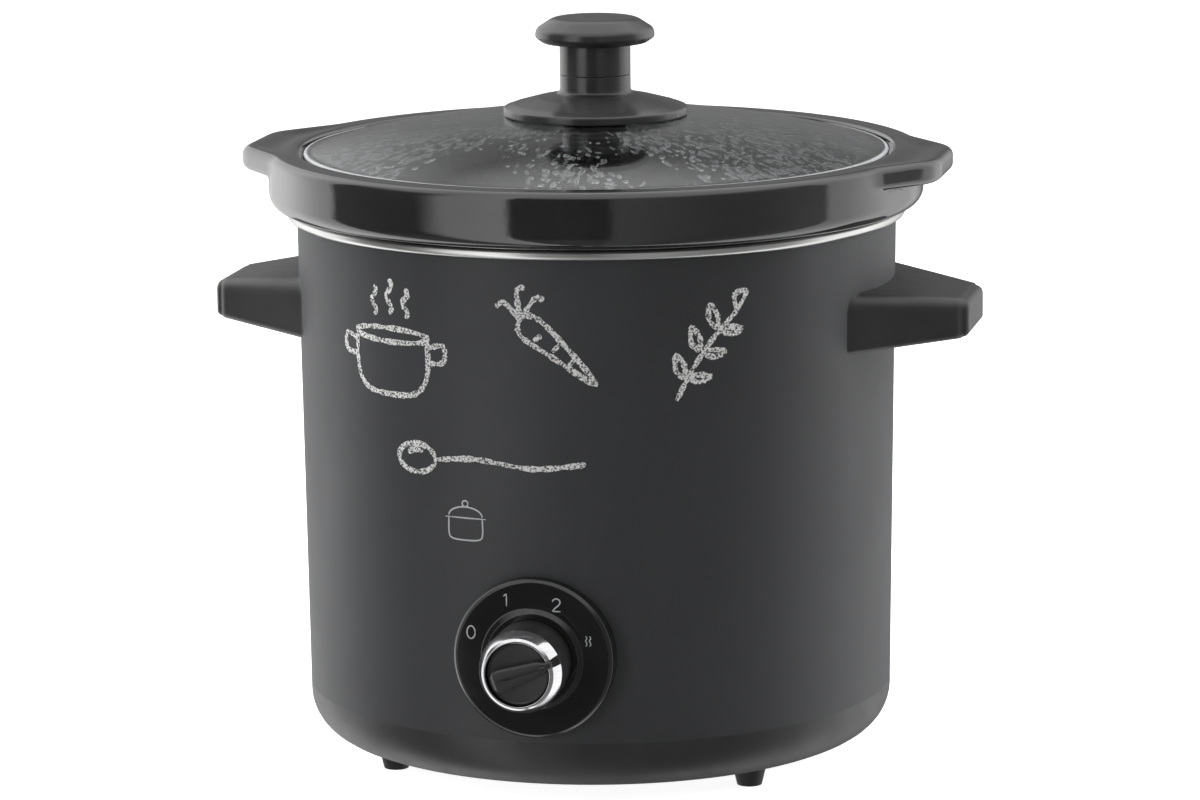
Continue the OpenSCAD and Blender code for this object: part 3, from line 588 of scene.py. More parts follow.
def mica_finish():
    """Pressed mica and its steel wrap, in flakes of gold and brown."""
    material, tree, shader = blank_material("heater_mica")
    place = add_node(tree, "ShaderNodeTexCoord", -1100, 0)
    flakes = add_node(tree, "ShaderNodeTexVoronoi", -800, 0)
    flakes.inputs["Scale"].default_value = 240.0
    tree.links.new(place.outputs["Object"], flakes.inputs["Vector"])
    vary_colour(tree, shader, flakes.outputs["Distance"], (0.2, 0.14, 0.07), (0.42, 0.33, 0.2))
    add_bump(tree, shader, flakes.outputs["Distance"], 0.3, 0.0001)
    shader.inputs["Roughness"].default_value = 0.45
    return material


def all_finishes(settings):
    """Every finish by name."""
    dark = tuple(settings.plastic)
    return {
        "paint": chalkboard_paint(tuple(settings.paint)),
        "base": moulded("base_plastic", scaled(dark, 0.8), (0.4, 0.52), 1900.0),
        "rubber": moulded("foot_rubber", scaled(dark, 0.8), (0.6, 0.78), 1400.0, 0.00006, 0.5),
        "knob": moulded("knob_plastic", scaled(dark, 1.35), (0.2, 0.28), 2600.0, 0.00002, 0.2),
        "handle": moulded("handle_plastic", scaled(dark, 1.0), (0.34, 0.46), 1800.0, 0.00005, 0.4),
        "dial": moulded("dial_plastic", scaled(dark, 0.7), (0.3, 0.4), 2600.0, 0.00002, 0.2),
        "gloss": moulded("bezel_gloss", scaled(dark, 0.4), (0.06, 0.11), 700.0, 0.00001, 0.08),
        "gland": moulded("gland_plastic", scaled(dark, 0.8), (0.45, 0.6), 1500.0),
        "retainer": moulded("retainer_plastic", scaled(dark, 0.7), (0.3, 0.42), 2000.0),
        "ceramic": moulded("terminal_ceramic", (0.72, 0.68, 0.6), (0.5, 0.7), 1200.0, mottle=1.1),
        "switch": moulded("switch_plastic", (0.66, 0.6, 0.48), (0.35, 0.5), 1600.0, mottle=1.1),
        "lead_red": moulded("supply_insulation", (0.25, 0.05, 0.04), (0.4, 0.55), 1600.0),
        "lead_blue": moulded("switch_insulation", (0.05, 0.08, 0.2), (0.4, 0.55), 1600.0),
        "glaze": glaze(tuple(settings.glaze)),
        "glass": lid_glass_finish(),
        "water": water_finish(),
        # steam film, made thicker towards the sides as a painted reflection on the glass
        "steam": steam_and_sheen_finish(),
        # painted highlight: pale grey finish for the ring that stands in for the light along the
        # glass edge
        "ground": moulded("edge_highlight_paint", (0.5, 0.51, 0.52), (0.25, 0.35), 1200.0, mottle=1.1),
        "steel": metal("well_steel", tuple(settings.steel), (0.3, 0.4), 500.0, 0.06),
        "lip": metal("polished_lip", tuple(settings.steel), (0.28, 0.36), 1200.0, 0.03),
        "zinc": metal("zinc_steel", (0.55, 0.56, 0.58), (0.3, 0.45), 1600.0),
        "shield": metal("shield_aluminium", (0.7, 0.71, 0.72), (0.35, 0.5), 700.0),
        "brass": metal("contact_brass", (0.72, 0.52, 0.24), (0.25, 0.4), 1500.0),
        "chrome": metal("dial_chrome", (0.6, 0.6, 0.61), (0.07, 0.13), 2200.0, 0.06),
        "mica": mica_finish(),
        "chalk": chalk_finish("chalk", tuple(settings.chalk)),
        "print": chalk_finish("printed_mark", (0.62, 0.63, 0.64), (0.1, 0.3), 4000.0),
    }


NODE_FINISHES = {
    "base": ("base", 0.0), "feet": ("rubber", 0.0004), "outer_shell": ("paint", 0.0),
    "heating_well": ("steel", 0.0), "heater_band": ("mica", 0.0), "band_bolts": ("zinc", 0.0),
    "heat_shield": ("shield", 0.0), "centre_stud": ("zinc", 0.0), "shield_nut": ("zinc", 0.0),
    "centre_washer": ("zinc", 0.0), "centre_nut": ("zinc", 0.0002),
    "thermal_fuse": ("ceramic", 0.0),
    "fuse_strap": ("zinc", 0.0), "earth_lug": ("brass", 0.0), "earth_screw": ("brass", 0.0),
    "terminal_block": ("ceramic", 0.0), "terminal_screws": ("brass", 0.0),
    "cord_gland": ("gland", 0.0003), "supply_leads": ("lead_red", 0.0),
    "switch_leads": ("lead_blue", 0.0), "switch_body": ("switch", 0.0),
    "switch_cover": ("dial", 0.0), "switch_contacts": ("brass", 0.0), "switch_nut": ("zinc", 0.0),
    "bezel": ("gloss", 0.0), "handle_left": ("handle", 0.0), "handle_right": ("handle", 0.0),
    "handle_plates": ("zinc", 0.0), "handle_screws": ("zinc", 0.0), "switch_shaft": ("zinc", 0.0),
    "switch_cam": ("switch", 0.0), "dial_knob": ("dial", 0.0), "dial_ring": ("chrome", 0.0),
    "knob_clip": ("zinc", 0.0), "crock": ("glaze", 0.0), "lid_glass": ("glass", 0.0),
    "lid_knob": ("knob", 0.0), "knob_base": ("knob", 0.0), "knob_insert": ("brass", 0.0),
    "lid_retainer": ("retainer", 0.0005), "lid_screw": ("zinc", 0.0),
}
MATERIAL_NAMES = {}


def finish(name):
    return bpy.data.materials[MATERIAL_NAMES[name]]


class COOKER_OT_finishes(bpy.types.Operator):
    """Makes the finishes and puts them on the CAD nodes"""
    bl_idname = "cooker.finishes"
    bl_label = "Finishes"

    def execute(self, context):
        for key, material in all_finishes(context.scene.cooker_finish).items():
            MATERIAL_NAMES[key] = material.name
        for node, (key, bevel) in NODE_FINISHES.items():
            obj = soften(node, bevel=bevel)
            obj.data.materials.clear()
            obj.data.materials.append(finish(key))
        return {"FINISHED"}


# --- crock --------------------------------------------------------------------------------------

def ear_outline(settings, rim, tip, columns):
    """Distance from the axis to the rim's outline, ears included, at each of the columns."""
    half_tip = settings.ear_tip_width / 2
    corner = settings.ear_corner
    root = Vector((rim * math.cos(settings.ear_spread), rim * math.sin(settings.ear_spread)))
    mid = Vector((tip - corner, half_tip - corner))
    away = root - mid
    start = math.atan2(away.y, away.x) - math.acos(corner / away.length)
    line = [root] + [
        mid + corner * Vector((math.cos(start * (1 - i / 16)), math.sin(start * (1 - i / 16))))
        for i in range(17)] + [Vector((tip, 0))]
    polar = sorted((math.atan2(p.y, p.x), p.length) for p in line)

    def at(angle):
        angle = abs((angle + math.pi / 2) % math.pi - math.pi / 2)
        for (a0, r0), (a1, r1) in zip(polar, polar[1:]):
            if a0 <= angle <= a1:
                # a straight edge between two points, written in polar form
                p = Vector((r0 * math.cos(a0), r0 * math.sin(a0)))
                q = Vector((r1 * math.cos(a1), r1 * math.sin(a1)))
                ray = Vector((math.cos(angle), math.sin(angle)))
                side = q - p
                cross = ray.x * side.y - ray.y * side.x
                if abs(cross) < 1e-9:
                    return r0
                return (p.x * side.y - p.y * side.x) / cross
        return rim

    raw = [at(2 * math.pi * k / columns) for k in range(columns)]
    span = max(1, columns // 180)
    return [
        max(rim, sum(raw[(k + d) % columns] for d in range(-span, span + 1)) / (2 * span + 1))
        for k in range(columns)]


def crock_rows(settings):
    """Rows of the crock's surface from the middle of the bowl over the rim to the underside."""
    low, high = span("crock")
    top, foot = high.z, low.z
    rim = (high.y - low.y) / 2
    tip = high.x - AXIS.x
    well_top = span("heating_well")[1].z
    wall = settings.wall
    ledge_r = rim - settings.rim_width
    ledge_z = top - settings.ledge_depth
    floor_z = foot + wall + 1.6 * MM
    outer = settings.body
    inner = outer - wall
    collar_z = well_top + LIFT
    bowl = [(0, floor_z), (inner * 0.4, floor_z)]
    bowl += arc(inner - 15 * MM, floor_z + 13 * MM, 13 * MM, -90, 0, 10)
    bowl += arc(inner + 2.5 * MM, ledge_z - 2.5 * MM, 2.5 * MM, 180, 90, 6)
    bowl += [(ledge_r - 1.2 * MM, ledge_z)]
    bowl += arc(ledge_r - 1.2 * MM, ledge_z + 1.2 * MM, 1.2 * MM, -90, 0, 4)
    bowl += arc(ledge_r + 1.4 * MM, top - 1.4 * MM, 1.4 * MM, 180, 90, 5)
    under = [(rim, top - settings.ear_thickness - 2.4 * MM), (rim, collar_z + 6.2 * MM)]
    under += arc(rim - 6 * MM, collar_z + 6 * MM, 6 * MM, 0, -90, 10)
    under += [(outer + 4 * MM, collar_z)]
    under += arc(outer + 2 * MM, collar_z - 2 * MM, 2 * MM, 90, 180, 4)
    under += [(outer, collar_z - 8 * MM)]
    under += arc(outer - 18 * MM, foot + 16 * MM, 16 * MM, 0, -90, 10)
    under += [(0, foot)]
    return bowl, under, rim, tip, top, ledge_r + 1.4 * MM


def build_crock(settings):
    """The crock with its two ears flowing out of the rim."""
    columns = 480
    bowl, under, rim, tip, top, flat = crock_rows(settings)
    outline = ear_outline(settings, rim, tip, columns)
    thick, soft = settings.ear_thickness, 3.2 * MM
    rows = [[(r, z)] * columns for r, z in bowl]
    for share in (0.15, 0.3, 0.45, 0.6, 0.75, 0.9, 1.0):
        row = []
        for out in outline:
            stretch = min(1.0, (out - rim) / (tip - rim))
            dish = settings.ear_dish * stretch * math.sin(math.pi * share) ** 2
            row.append((flat + (out - soft - flat) * share, top - dish))
        rows.append(row)
    for a in range(1, 9):
        turn = math.radians(90 * a / 8)
        rows.append([(out - soft * (1 - math.sin(turn)), top - soft * (1 - math.cos(turn)))
                     for out in outline])
    for a in range(0, 9):
        turn = math.radians(90 * a / 8)
        rows.append([(max(rim, out - soft * (1 - math.cos(turn))),
                      top - thick + soft * (1 - math.sin(turn)) * 0.9) for out in outline])
    for share in (0.2, 0.4, 0.6, 0.8, 1.0):
        rows.append([(max(rim, (out - soft) * (1 - share) + rim * share),
                      top - thick - 2.0 * MM * share ** 2.5 - 0.2 * MM * share) for out in outline])
    rows += [[(r, z)] * columns for r, z in under]
    points = []
    for row in rows:
        for k, (r, z) in enumerate(row):
            a = 2 * math.pi * k / columns
            points.append((AXIS.x + r * math.cos(a), AXIS.y + r * math.sin(a), z))
    return add_piece("stoneware_crock", points, grid_faces(len(rows), columns), 50)


def build_lip():
    """The bright rolled lip of the well, which shows as a bead under the crock."""
    size = 2.05 * MM
    middle = reach("heating_well") - 2.0 * MM
    top = span("heating_well")[1].z
    return lathe("well_lip_bead", arc(middle, top - 2.0 * MM, size, -70, 150, 28), 360)


class COOKER_OT_crock(bpy.types.Operator):
    """Builds the glazed crock with its ears"""
    bl_idname = "cooker.crock"
    bl_label = "Crock"

    def execute(self, context):
        piece = build_crock(context.scene.cooker_crock)
        finish_piece(piece, finish("glaze"), "crock", ("crock",))
        finish_piece(build_lip(), finish("lip"), "housing", ())
        return {"FINISHED"}


# --- lid ----------------------------------------------------------------------------------------

def glass_shape(settings):
    """The glass dome: edge radius, sphere radius and the height of the sphere's middle."""
    low, high = span("lid_glass")
    edge = reach("lid_glass") - settings.glass / 2
    crown = high.z
    rise = crown - low.z - settings.glass
    sphere = (edge ** 2 + rise ** 2) / (2 * rise)
    return edge, sphere, crown - sphere, low.z


def dome_height(settings, r):
    _, sphere, middle, _ = glass_shape(settings)
    return middle + math.sqrt(sphere ** 2 - r ** 2)


def build_glass(settings):
    """The domed glass with its rolled edge."""
    edge, _, _, low = glass_shape(settings)
    steps = 40
    radii = [settings.hole + (edge - settings.hole) * i / steps for i in range(steps + 1)]
    half = settings.glass / 2
    profile = [(r, dome_height(settings, r)) for r in radii]
    profile += arc(edge, low + half, half, 90, -90, 12)[1:-1]
    profile += [(r, dome_height(settings, r) - settings.glass) for r in reversed(radii)]
    return lathe("domed_glass", profile, 300, closed=True, crease=60)


def drop_mesh(points, faces, spot, along, across, size, long, flat):
    """Adds one hanging drop to the lists of points and faces."""
    sides, first = 8, len(points)
    for ring, sink in ((1.0, 0.0), (0.82, 0.5), (0.45, 0.88)):
        for k in range(sides):
            a = 2 * math.pi * k / sides
            reach_out = along * (math.cos(a) * size * long * ring)
            offset = reach_out + across * (math.sin(a) * size * ring)
            points.append(spot + offset - Vector((0, 0, sink * flat)))
    points.append(spot - Vector((0, 0, flat)))
    for ring in range(2):
        for k in range(sides):
            n = (k + 1) % sides
            start = first + ring * sides
            faces.append((start + k, start + n, start + sides + n, start + sides + k))
    for k in range(sides):
        faces.append((first + 2 * sides + k, first + 2 * sides + (k + 1) % sides, len(points) - 1))
    faces.append(tuple(first + k for k in reversed(range(sides))))


def build_drops(settings):
    """Drops and short runs of water under the glass, thicker in some patches."""
    rng = random.Random(settings.seed)
    edge, sphere, _, _ = glass_shape(settings)
    points, faces = [], []
    while len(points) < settings.drops * 25:
        a = rng.uniform(0, 2 * math.pi)
        r = math.sqrt(rng.uniform(0.12, 0.94)) * edge
        here = Vector((math.cos(a), math.sin(a), 0))
        patch = noise.noise(here * 2.3 + Vector((0, 0, r * 16)))
        if rng.uniform(-0.5, 0.5) > 1.5 * patch + 1.5 * (abs(here.x) * r / edge) - 0.5:
            continue
        size = rng.choice((0.35, 0.45, 0.6, 0.75, 0.9, 1.15)) * MM * rng.uniform(0.8, 1.2)
        long = rng.choice((1.0, 1.2, 1.6, 2.4, 3.6)) if size > 0.55 * MM else 1.0
        lean = rng.uniform(-0.5, 0.5)
        along = Vector((math.cos(a + lean), math.sin(a + lean), 0))
        along.z = -r / sphere
        across = Vector((-math.sin(a + lean), math.cos(a + lean), 0))
        spot = Vector((AXIS.x, AXIS.y, 0)) + here * r
        spot.z = dome_height(settings, r) - settings.glass - 0.02 * MM
        drop_mesh(points, faces, spot, along, across, size, long, size * 0.55)
    return add_piece("lid_condensation", points, faces, 60)


def build_steam_and_sheen(settings):
    """The film of steam on the underside of the glass, which also paints the paler reflection on
    the lid's sides.
    """
    edge = glass_shape(settings)[0]
    radii = [(0.14 + 0.82 * i / 30) * edge for i in range(31)]
    drop = settings.glass + 0.03 * MM
    return lathe("lid_steam_and_sheen", [(r, dome_height(settings, r) - drop) for r in radii], 200)


def build_edge_highlight_ring(settings):
    """The glass's rounded edge as an opaque pale ring: a painted highlight where the glass catches
    the light.
    """
    edge, _, _, low = glass_shape(settings)
    size = 1.1 * MM
    ring = arc(edge + 0.7 * MM, low + settings.glass - size - 0.05 * MM, size, 0, 360, 16)[:-1]
    return lathe("glass_edge_highlight_ring", ring, 300, closed=True, crease=60)


def build_knob_base(settings):
    """The knob's disc, its cone and the lower part of its stem."""
    low, high = span("knob_base")
    disc = reach("knob_base")
    stem = settings.stem
    join = high.z
    cone = join - settings.parting
    profile = rounded([
        (stem - 3.5 * MM, low.z + 2.2 * MM, 0), (disc - 3 * MM, low.z + 0.3 * MM, 0),
        (disc - 2.9 * MM, low.z, 0.1 * MM), (disc - 0.2 * MM, low.z, 0.5 * MM),
        (disc, low.z + 3.0 * MM, 1.1 * MM), (disc - 4 * MM, low.z + 4.4 * MM, 3 * MM),
        (stem + 9 * MM, cone - 2.2 * MM, 14 * MM), (stem, cone - 0.4 * MM, 2.2 * MM),
        (stem, join, 0.35 * MM), (stem - 3.5 * MM, join, 0)])
    return lathe("knob_disc", profile, 180, closed=True, crease=50)


def build_knob_cap(settings):
    """The mushroom knob from its parting line up."""
    low, high = span("lid_knob")
    cap = reach("lid_knob")
    stem = settings.stem
    join = span("knob_base")[1].z
    under = high.z - settings.cap_height
    profile = rounded([
        (0, low.z, 0), (stem - 3.7 * MM, low.z, 0.3 * MM), (stem - 3.7 * MM, join, 0),
        (stem, join, 0.35 * MM), (stem, under, 1.2 * MM), (cap - 3.0 * MM, under, 1.0 * MM),
        (cap, under + 2.0 * MM, 1.6 * MM), (cap - 0.3 * MM, under + 5.2 * MM, 3.0 * MM),
        (cap - 7.0 * MM, high.z, 7.5 * MM), (6 * MM, high.z - 0.25 * MM, 3 * MM),
        (0, high.z - 0.3 * MM, 0)], 9)
    return lathe("knob_cap", profile, 180, crease=50)


class COOKER_OT_lid(bpy.types.Operator):
    """Builds the glass lid, the water under it and its knob"""
    bl_idname = "cooker.lid"
    bl_label = "Lid and knob"

    def execute(self, context):
        settings = context.scene.cooker_lid
        finish_piece(build_glass(settings), finish("glass"), "lid", ("lid_glass",))
        finish_piece(build_edge_highlight_ring(settings), finish("ground"), "lid", ())
        finish_piece(build_steam_and_sheen(settings), finish("steam"), "lid")
        finish_piece(build_drops(settings), finish("water"), "lid")
        finish_piece(
            build_knob_base(settings), finish("knob"), "lid", ("knob_base",))
        finish_piece(build_knob_cap(settings), finish("knob"), "lid", ("lid_knob",))
        return {"FINISHED"}


# --- handles ------------------------------------------------------------------------------------

def handle_section(settings, share, top, root_h, root_w):
    """Half width, top and bottom of a handle at a share of its way out."""
    slope = settings.slope
    half = (root_w + (settings.tip_width - root_w) * share) / 2
    fall = slope * (0.62 * share / 0.63 if share < 0.63 else 0.62 + 0.38 * (share - 0.63) / 0.37)
    floor = top - root_h + (root_h - slope - settings.tip_height) * share
    return half, top - fall, floor


def section_loop(half, top, floor, round_top, round_floor, steps=7):
    """A rounded box outline in the width and height directions."""
    loop = arc(half - round_top, top - round_top, round_top, 0, 90, steps)
    loop += arc(-half + round_top, top - round_top, round_top, 90, 180, steps)
    loop += arc(-half + round_floor, floor + round_floor, round_floor, 180, 270, steps)
    loop += arc(half - round_floor, floor + round_floor, round_floor, 270, 360, steps)
    return loop


def build_handle(settings, side, node):
    """A wedge-shaped grip with soft edges, fitted to the curve of the shell."""
    low, high = span(node)
    end = max(abs(high.x - AXIS.x), abs(low.x - AXIS.x))
    root_w = high.y - low.y
    top, root_h = high.z, high.z - low.z
    start = math.sqrt(SHELL_TOP_R ** 2 - (root_w / 2) ** 2) - 2 * MM
    rows, tip_round = [], settings.end_soft
    tip_soft, floor_soft = settings.tip_soft, settings.floor_soft
    spots = [i / 26 for i in range(27)]
    for spot in spots:
        x = start + (end - tip_round - start) * spot
        share = (x - start) / (end - start)
        half, z1, z0 = handle_section(settings, share, top, root_h, root_w)
        soft = settings.root_soft + (tip_soft - settings.root_soft) * share
        rows.append((x, section_loop(half, z1, z0, soft, floor_soft)))
    half, z1, z0 = handle_section(settings, 1.0, top, root_h, root_w)
    for i in range(1, 8):
        turn = math.radians(90 * i / 7)
        inset = tip_round * (1 - math.cos(turn))
        rows.append((end - tip_round + tip_round * math.sin(turn), section_loop(
            half + 0.6 * MM - inset, z1 - inset * 0.8, z0 + inset * 0.8,
            max(1.2 * MM, tip_soft - inset), max(0.6 * MM, floor_soft - inset))))
    columns = len(rows[0][1])
    points = []
    for x, loop in rows:
        for y, z in loop:
            skin = math.sqrt(max(0.0, (shell_radius(z) - 0.35 * MM) ** 2 - y ** 2))
            points.append((AXIS.x + side * max(x, skin), AXIS.y + y, z))
    faces = grid_faces(len(rows), columns)
    faces.append(tuple(range(columns)))
    faces.append(tuple((len(rows) - 1) * columns + k for k in range(columns)))
    return add_piece(node + "_grip", points, faces, 50)


class COOKER_OT_handles(bpy.types.Operator):
    """Builds the two side handles"""
    bl_idname = "cooker.handles"
    bl_label = "Side handles"

    def execute(self, context):
        for side, node in ((-1, "handle_left"), (1, "handle_right")):
            piece = build_handle(context.scene.cooker_handle, side, node)
            finish_piece(piece, finish("handle"), "housing", (node,))
        return {"FINISHED"}


# --- control ------------------------------------------------------------------------------------

def build_bezel(settings):
    """The glossy disc behind the knob, with its raised boss, fitted to the shell."""
    radius = reach("bezel")
    boss_face = depth_of(span("bezel")[0].y)
    face = boss_face - settings.boss_rise
    steps = 240
    front = rounded([
        (4.9 * MM, boss_face, 0), (settings.boss - 0.2 * MM, boss_face, 0.6 * MM),
        (settings.boss + 1.6 * MM, face, 1.2 * MM), (radius - 1.2 * MM, face, 0.9 * MM),
        (radius, face - 1.4 * MM, 0.8 * MM), (radius, face - 2.4 * MM, 0)])
    points = []
    for r, depth in front:
        for k in range(steps):
            a = 2 * math.pi * k / steps
            points.append(at_control(r * math.cos(a), r * math.sin(a), depth))
    for k in range(steps):
        a = 2 * math.pi * k / steps
        x, y = radius * math.cos(a), radius * math.sin(a)
        skin = math.sqrt(shell_radius(DIAL_Z + y) ** 2 - x ** 2) - 0.3 * MM
        points.append(at_control(x, y, min(skin, face - 2.5 * MM)))
    return add_piece("control_bezel", points, grid_faces(len(front) + 1, steps), 40)


def turned_by(angle):
    """Placing function for things drawn with the pointer to the right."""
    c, s = math.cos(angle), math.sin(angle)
    return lambda x, y, depth: at_control(c * x - s * y, s * x + c * y, depth)


def build_dial_body(settings):
    """The knob's skirt and its sunk face."""
    back = depth_of(span("dial_knob")[1].y)
    ring_low, ring_high = span("dial_ring")
    ring_back, front = depth_of(ring_high.y), depth_of(ring_low.y)
    outer = reach("dial_knob")
    wall, taper = settings.ring_wall, settings.ring_taper
    profile = rounded([
        (9.5 * MM, back + 1 * MM, 0), (9.5 * MM, back, 0.3 * MM),
        (outer - 0.5 * MM, back, 0.6 * MM),
        (outer - 0.5 * MM, ring_back - 0.3 * MM, 0.4 * MM), (outer - wall, ring_back, 0),
        (outer - taper - wall - 0.3 * MM, front - 1.5 * MM, 0.4 * MM),
        (outer - taper - wall - 0.9 * MM, front - 1.95 * MM, 0.4 * MM), (0, front - 2.0 * MM, 0)])
    return lathe("dial_skirt", profile, 200, turned_by(settings.pointer), crease=50)


def build_dial_ring(settings):
    """The tapered chrome ring, broken where the pointer comes through."""
    ring_low, ring_high = span("dial_ring")
    back, front = depth_of(ring_high.y), depth_of(ring_low.y)
    outer = reach("dial_knob")
    wall, taper = settings.ring_wall, settings.ring_taper
    section = rounded([
        (outer - wall / 2, back, 0), (outer - 0.05 * MM, back, 0.35 * MM),
        (outer - taper * 0.86, front - 0.95 * MM, 0.5 * MM),
        (outer - taper - 0.5 * MM, front - 0.1 * MM, 0.35 * MM),
        (outer - taper - wall * 0.8, front - 0.1 * MM, 0.2 * MM),
        (outer - wall - 0.3 * MM, back + 0.2 * MM, 0.3 * MM), (outer - wall / 2, back, 0)], 5)[:-1]
    place = turned_by(settings.pointer)
    steps = 200
    gap = settings.gap / 2 / (outer - taper)
    points = []
    for i in range(steps + 1):
        a = gap + (2 * math.pi - 2 * gap) * i / steps
        points += [place(r * math.cos(a), r * math.sin(a), d) for r, d in section]
    count = len(section)
    faces = grid_faces(steps + 1, count)
    faces.append(tuple(range(count)))
    faces.append(tuple(steps * count + k for k in range(count)))
    return add_piece("dial_chrome_ring", points, faces, 40)


def build_grip_bar(settings):
    """The bar across the face, narrowing to the pointer, with a fine groove on top."""
    front = depth_of(span("dial_ring")[0].y)
    crest = depth_of(span("dial_knob")[0].y)
    outer = reach("dial_knob")
    half = settings.bar / 2
    tip = settings.gap / 2 - 0.05 * MM
    back = -(outer - settings.ring_taper - settings.ring_wall - 0.6 * MM)
    nose = outer - settings.ring_taper + 0.6 * MM
    place = turned_by(settings.pointer)
    stations = [(back, 0.42), (back + 0.8 * MM, 0.72), (back + 2.4 * MM, 0.94),
                (back + 5 * MM, 1.0)]
    stations += [(back + 5 * MM + (nose - 5 * MM - back - 5 * MM) * i / 8, 1.0 - 0.045 * i)
                 for i in range(1, 9)]
    stations += [(nose - 3.6 * MM, 0.5), (nose - 2.2 * MM, tip / half),
                 (nose - 0.4 * MM, tip / half * 0.96), (nose, tip / half * 0.7)]
    points, count = [], 0
    for i, (x, share) in enumerate(stations):
        w = half * share
        near_end = min(1.0, (x - back) / (3 * MM) + 0.35, (nose - x) / (2 * MM) + 0.45)
        high = front - 2.0 * MM + (crest - front + 2.0 * MM) * near_end
        soft = min(1.1 * MM, w * 0.7)
        groove = 0.45 * MM if 3 < i < len(stations) - 3 else 0.0
        slot = 0.5 * MM
        top = [(slot, high), (slot * 0.6, high - groove),
               (-slot * 0.6, high - groove), (-slot, high)]
        loop = [(w + 0.3 * MM, front - 2.4 * MM)] + arc(w - soft, high - soft, soft, 0, 90, 5)
        loop += top + arc(-w + soft, high - soft, soft, 90, 180, 5)
        loop += [(-w - 0.3 * MM, front - 2.4 * MM)]
        count = len(loop)
        points += [place(x, y, d) for y, d in loop]
    faces = grid_faces(len(stations), count)
    faces.append(tuple(range(count)))
    faces.append(tuple((len(stations) - 1) * count + k for k in range(count)))
    return add_piece("dial_grip_bar", points, faces, 38)


def ribbon(points, width, place, faces_out, points_out, rng=None):
    """A flat stroke along (x, y) points, a little uneven if a random source is given."""
    count = len(points)
    first = len(points_out)
    for i, (x, y) in enumerate(points):
        ahead = Vector(points[min(i + 1, count - 1)]) - Vector(points[max(i - 1, 0)])
        across = Vector((-ahead.y, ahead.x)).normalized() * width / 2
        if rng:
            across *= rng.uniform(0.65, 1.25)
        if i in (0, count - 1):
            across *= 0.55
        points_out.append(place(x + across.x, y + across.y))
        points_out.append(place(x - across.x, y - across.y))
    for i in range(count - 1):
        k = first + 2 * i
        faces_out.append((k, k + 1, k + 3, k + 2))


def smooth_line(corners, steps=8):
    """A curve through its corners."""
    line, last = [], len(corners) - 1
    for i in range(last):
        a, b, c, d = (Vector(corners[max(0, min(last, i + k))]) for k in (-1, 0, 1, 2))
        for s in range(steps):
            t = s / steps
            line.append(tuple(0.5 * (2 * b + (c - a) * t + (2 * a - 5 * b + 4 * c - d) * t ** 2
                                     + (3 * b - a - 3 * c + d) * t ** 3)))
    return line + [tuple(corners[-1])]


def mark_strokes(kind):
    """Strokes of a dial mark on a grid one unit high."""
    if kind == "zero":
        return [[(0.32 * math.cos(a), 0.5 * math.sin(a))
                 for a in (2 * math.pi * i / 28 for i in range(29))]]
    if kind == "one":
        return [[(-0.2, 0.3), (-0.05, 0.38), (0.06, 0.5)], [(0.06, 0.5), (0.06, 0.0), (0.06, -0.5)]]
    if kind == "two":
        return [smooth_line([(-0.3, 0.26), (-0.2, 0.44), (0.02, 0.5), (0.24, 0.4), (0.29, 0.2),
                             (0.16, -0.02), (-0.1, -0.24), (-0.32, -0.49)], 5),
                [(-0.32, -0.49), (0, -0.49), (0.33, -0.49)]]
    return [smooth_line([(x, -0.4), (x + 0.1, -0.2), (x - 0.02, 0.02), (x + 0.09, 0.22),
                         (x, 0.4)], 6)
            for x in (-0.16, 0.14)]


MARKS = (("zero", 158, 25.0), ("one", 114, 24.2), ("two", 66, 22.8), ("steam", 20, 22.4))


def build_marks(settings):
    """The numbers and the keep-warm sign printed on the bezel."""
    face = depth_of(span("bezel")[0].y) - settings.boss_rise + 0.05 * MM
    points, faces = [], []
    high = settings.mark_height
    for kind, angle, distance in MARKS:
        a = math.radians(angle)
        cx, cy = distance * MM * math.cos(a), distance * MM * math.sin(a)
        for stroke in mark_strokes(kind):
            line = [(cx + x * high, cy + y * high) for x, y in stroke]
            width = settings.mark_stroke * (0.7 if kind == "steam" else 1.0)
            ribbon(line, width, lambda x, y: at_control(x, y, face), faces, points)
    return add_piece("dial_marks", points, faces)


class COOKER_OT_control(bpy.types.Operator):
    """Builds the bezel, its marks and the dial knob"""
    bl_idname = "cooker.control"
    bl_label = "Control"

    def execute(self, context):
        settings = context.scene.cooker_control
        finish_piece(
            build_bezel(settings), finish("gloss"), "housing", ("bezel",))
        finish_piece(build_marks(settings), finish("print"), "housing")
        finish_piece(
            build_dial_body(settings), finish("dial"), "dial", ("dial_knob",))
        finish_piece(build_grip_bar(settings), finish("dial"), "dial", ())
        finish_piece(
            build_dial_ring(settings), finish("chrome"), "dial", ("dial_ring",))
        return {"FINISHED"}


# --- drawing on the shell -----------------------------------------------------------------------

def on_shell(x, z):
    """A point on the shell's skin, x being measured round the front from the middle."""
    r = shell_radius(z) + 0.06 * MM
    a = x / SHELL_TOP_R
    return (AXIS.x + r * math.sin(a), AXIS.y - r * math.cos(a), z)


def loop_line(cx, cy, rx, ry, start=0, end=360, steps=24):
    return [(cx + rx * math.cos(math.radians(start + (end - start) * i / steps)),
             cy + ry * math.sin(math.radians(start + (end - start) * i / steps)))
            for i in range(steps + 1)]


def wavy(x, low, high, sway, turns=1.5, steps=20):
    return [(x + sway * math.sin(2 * math.pi * turns * i / steps), low + (high - low) * i / steps)
            for i in range(steps + 1)]


def moved(lines, x=0.0, z=0.0):
    return [[(a + x, b + z) for a, b in line] for line in lines]


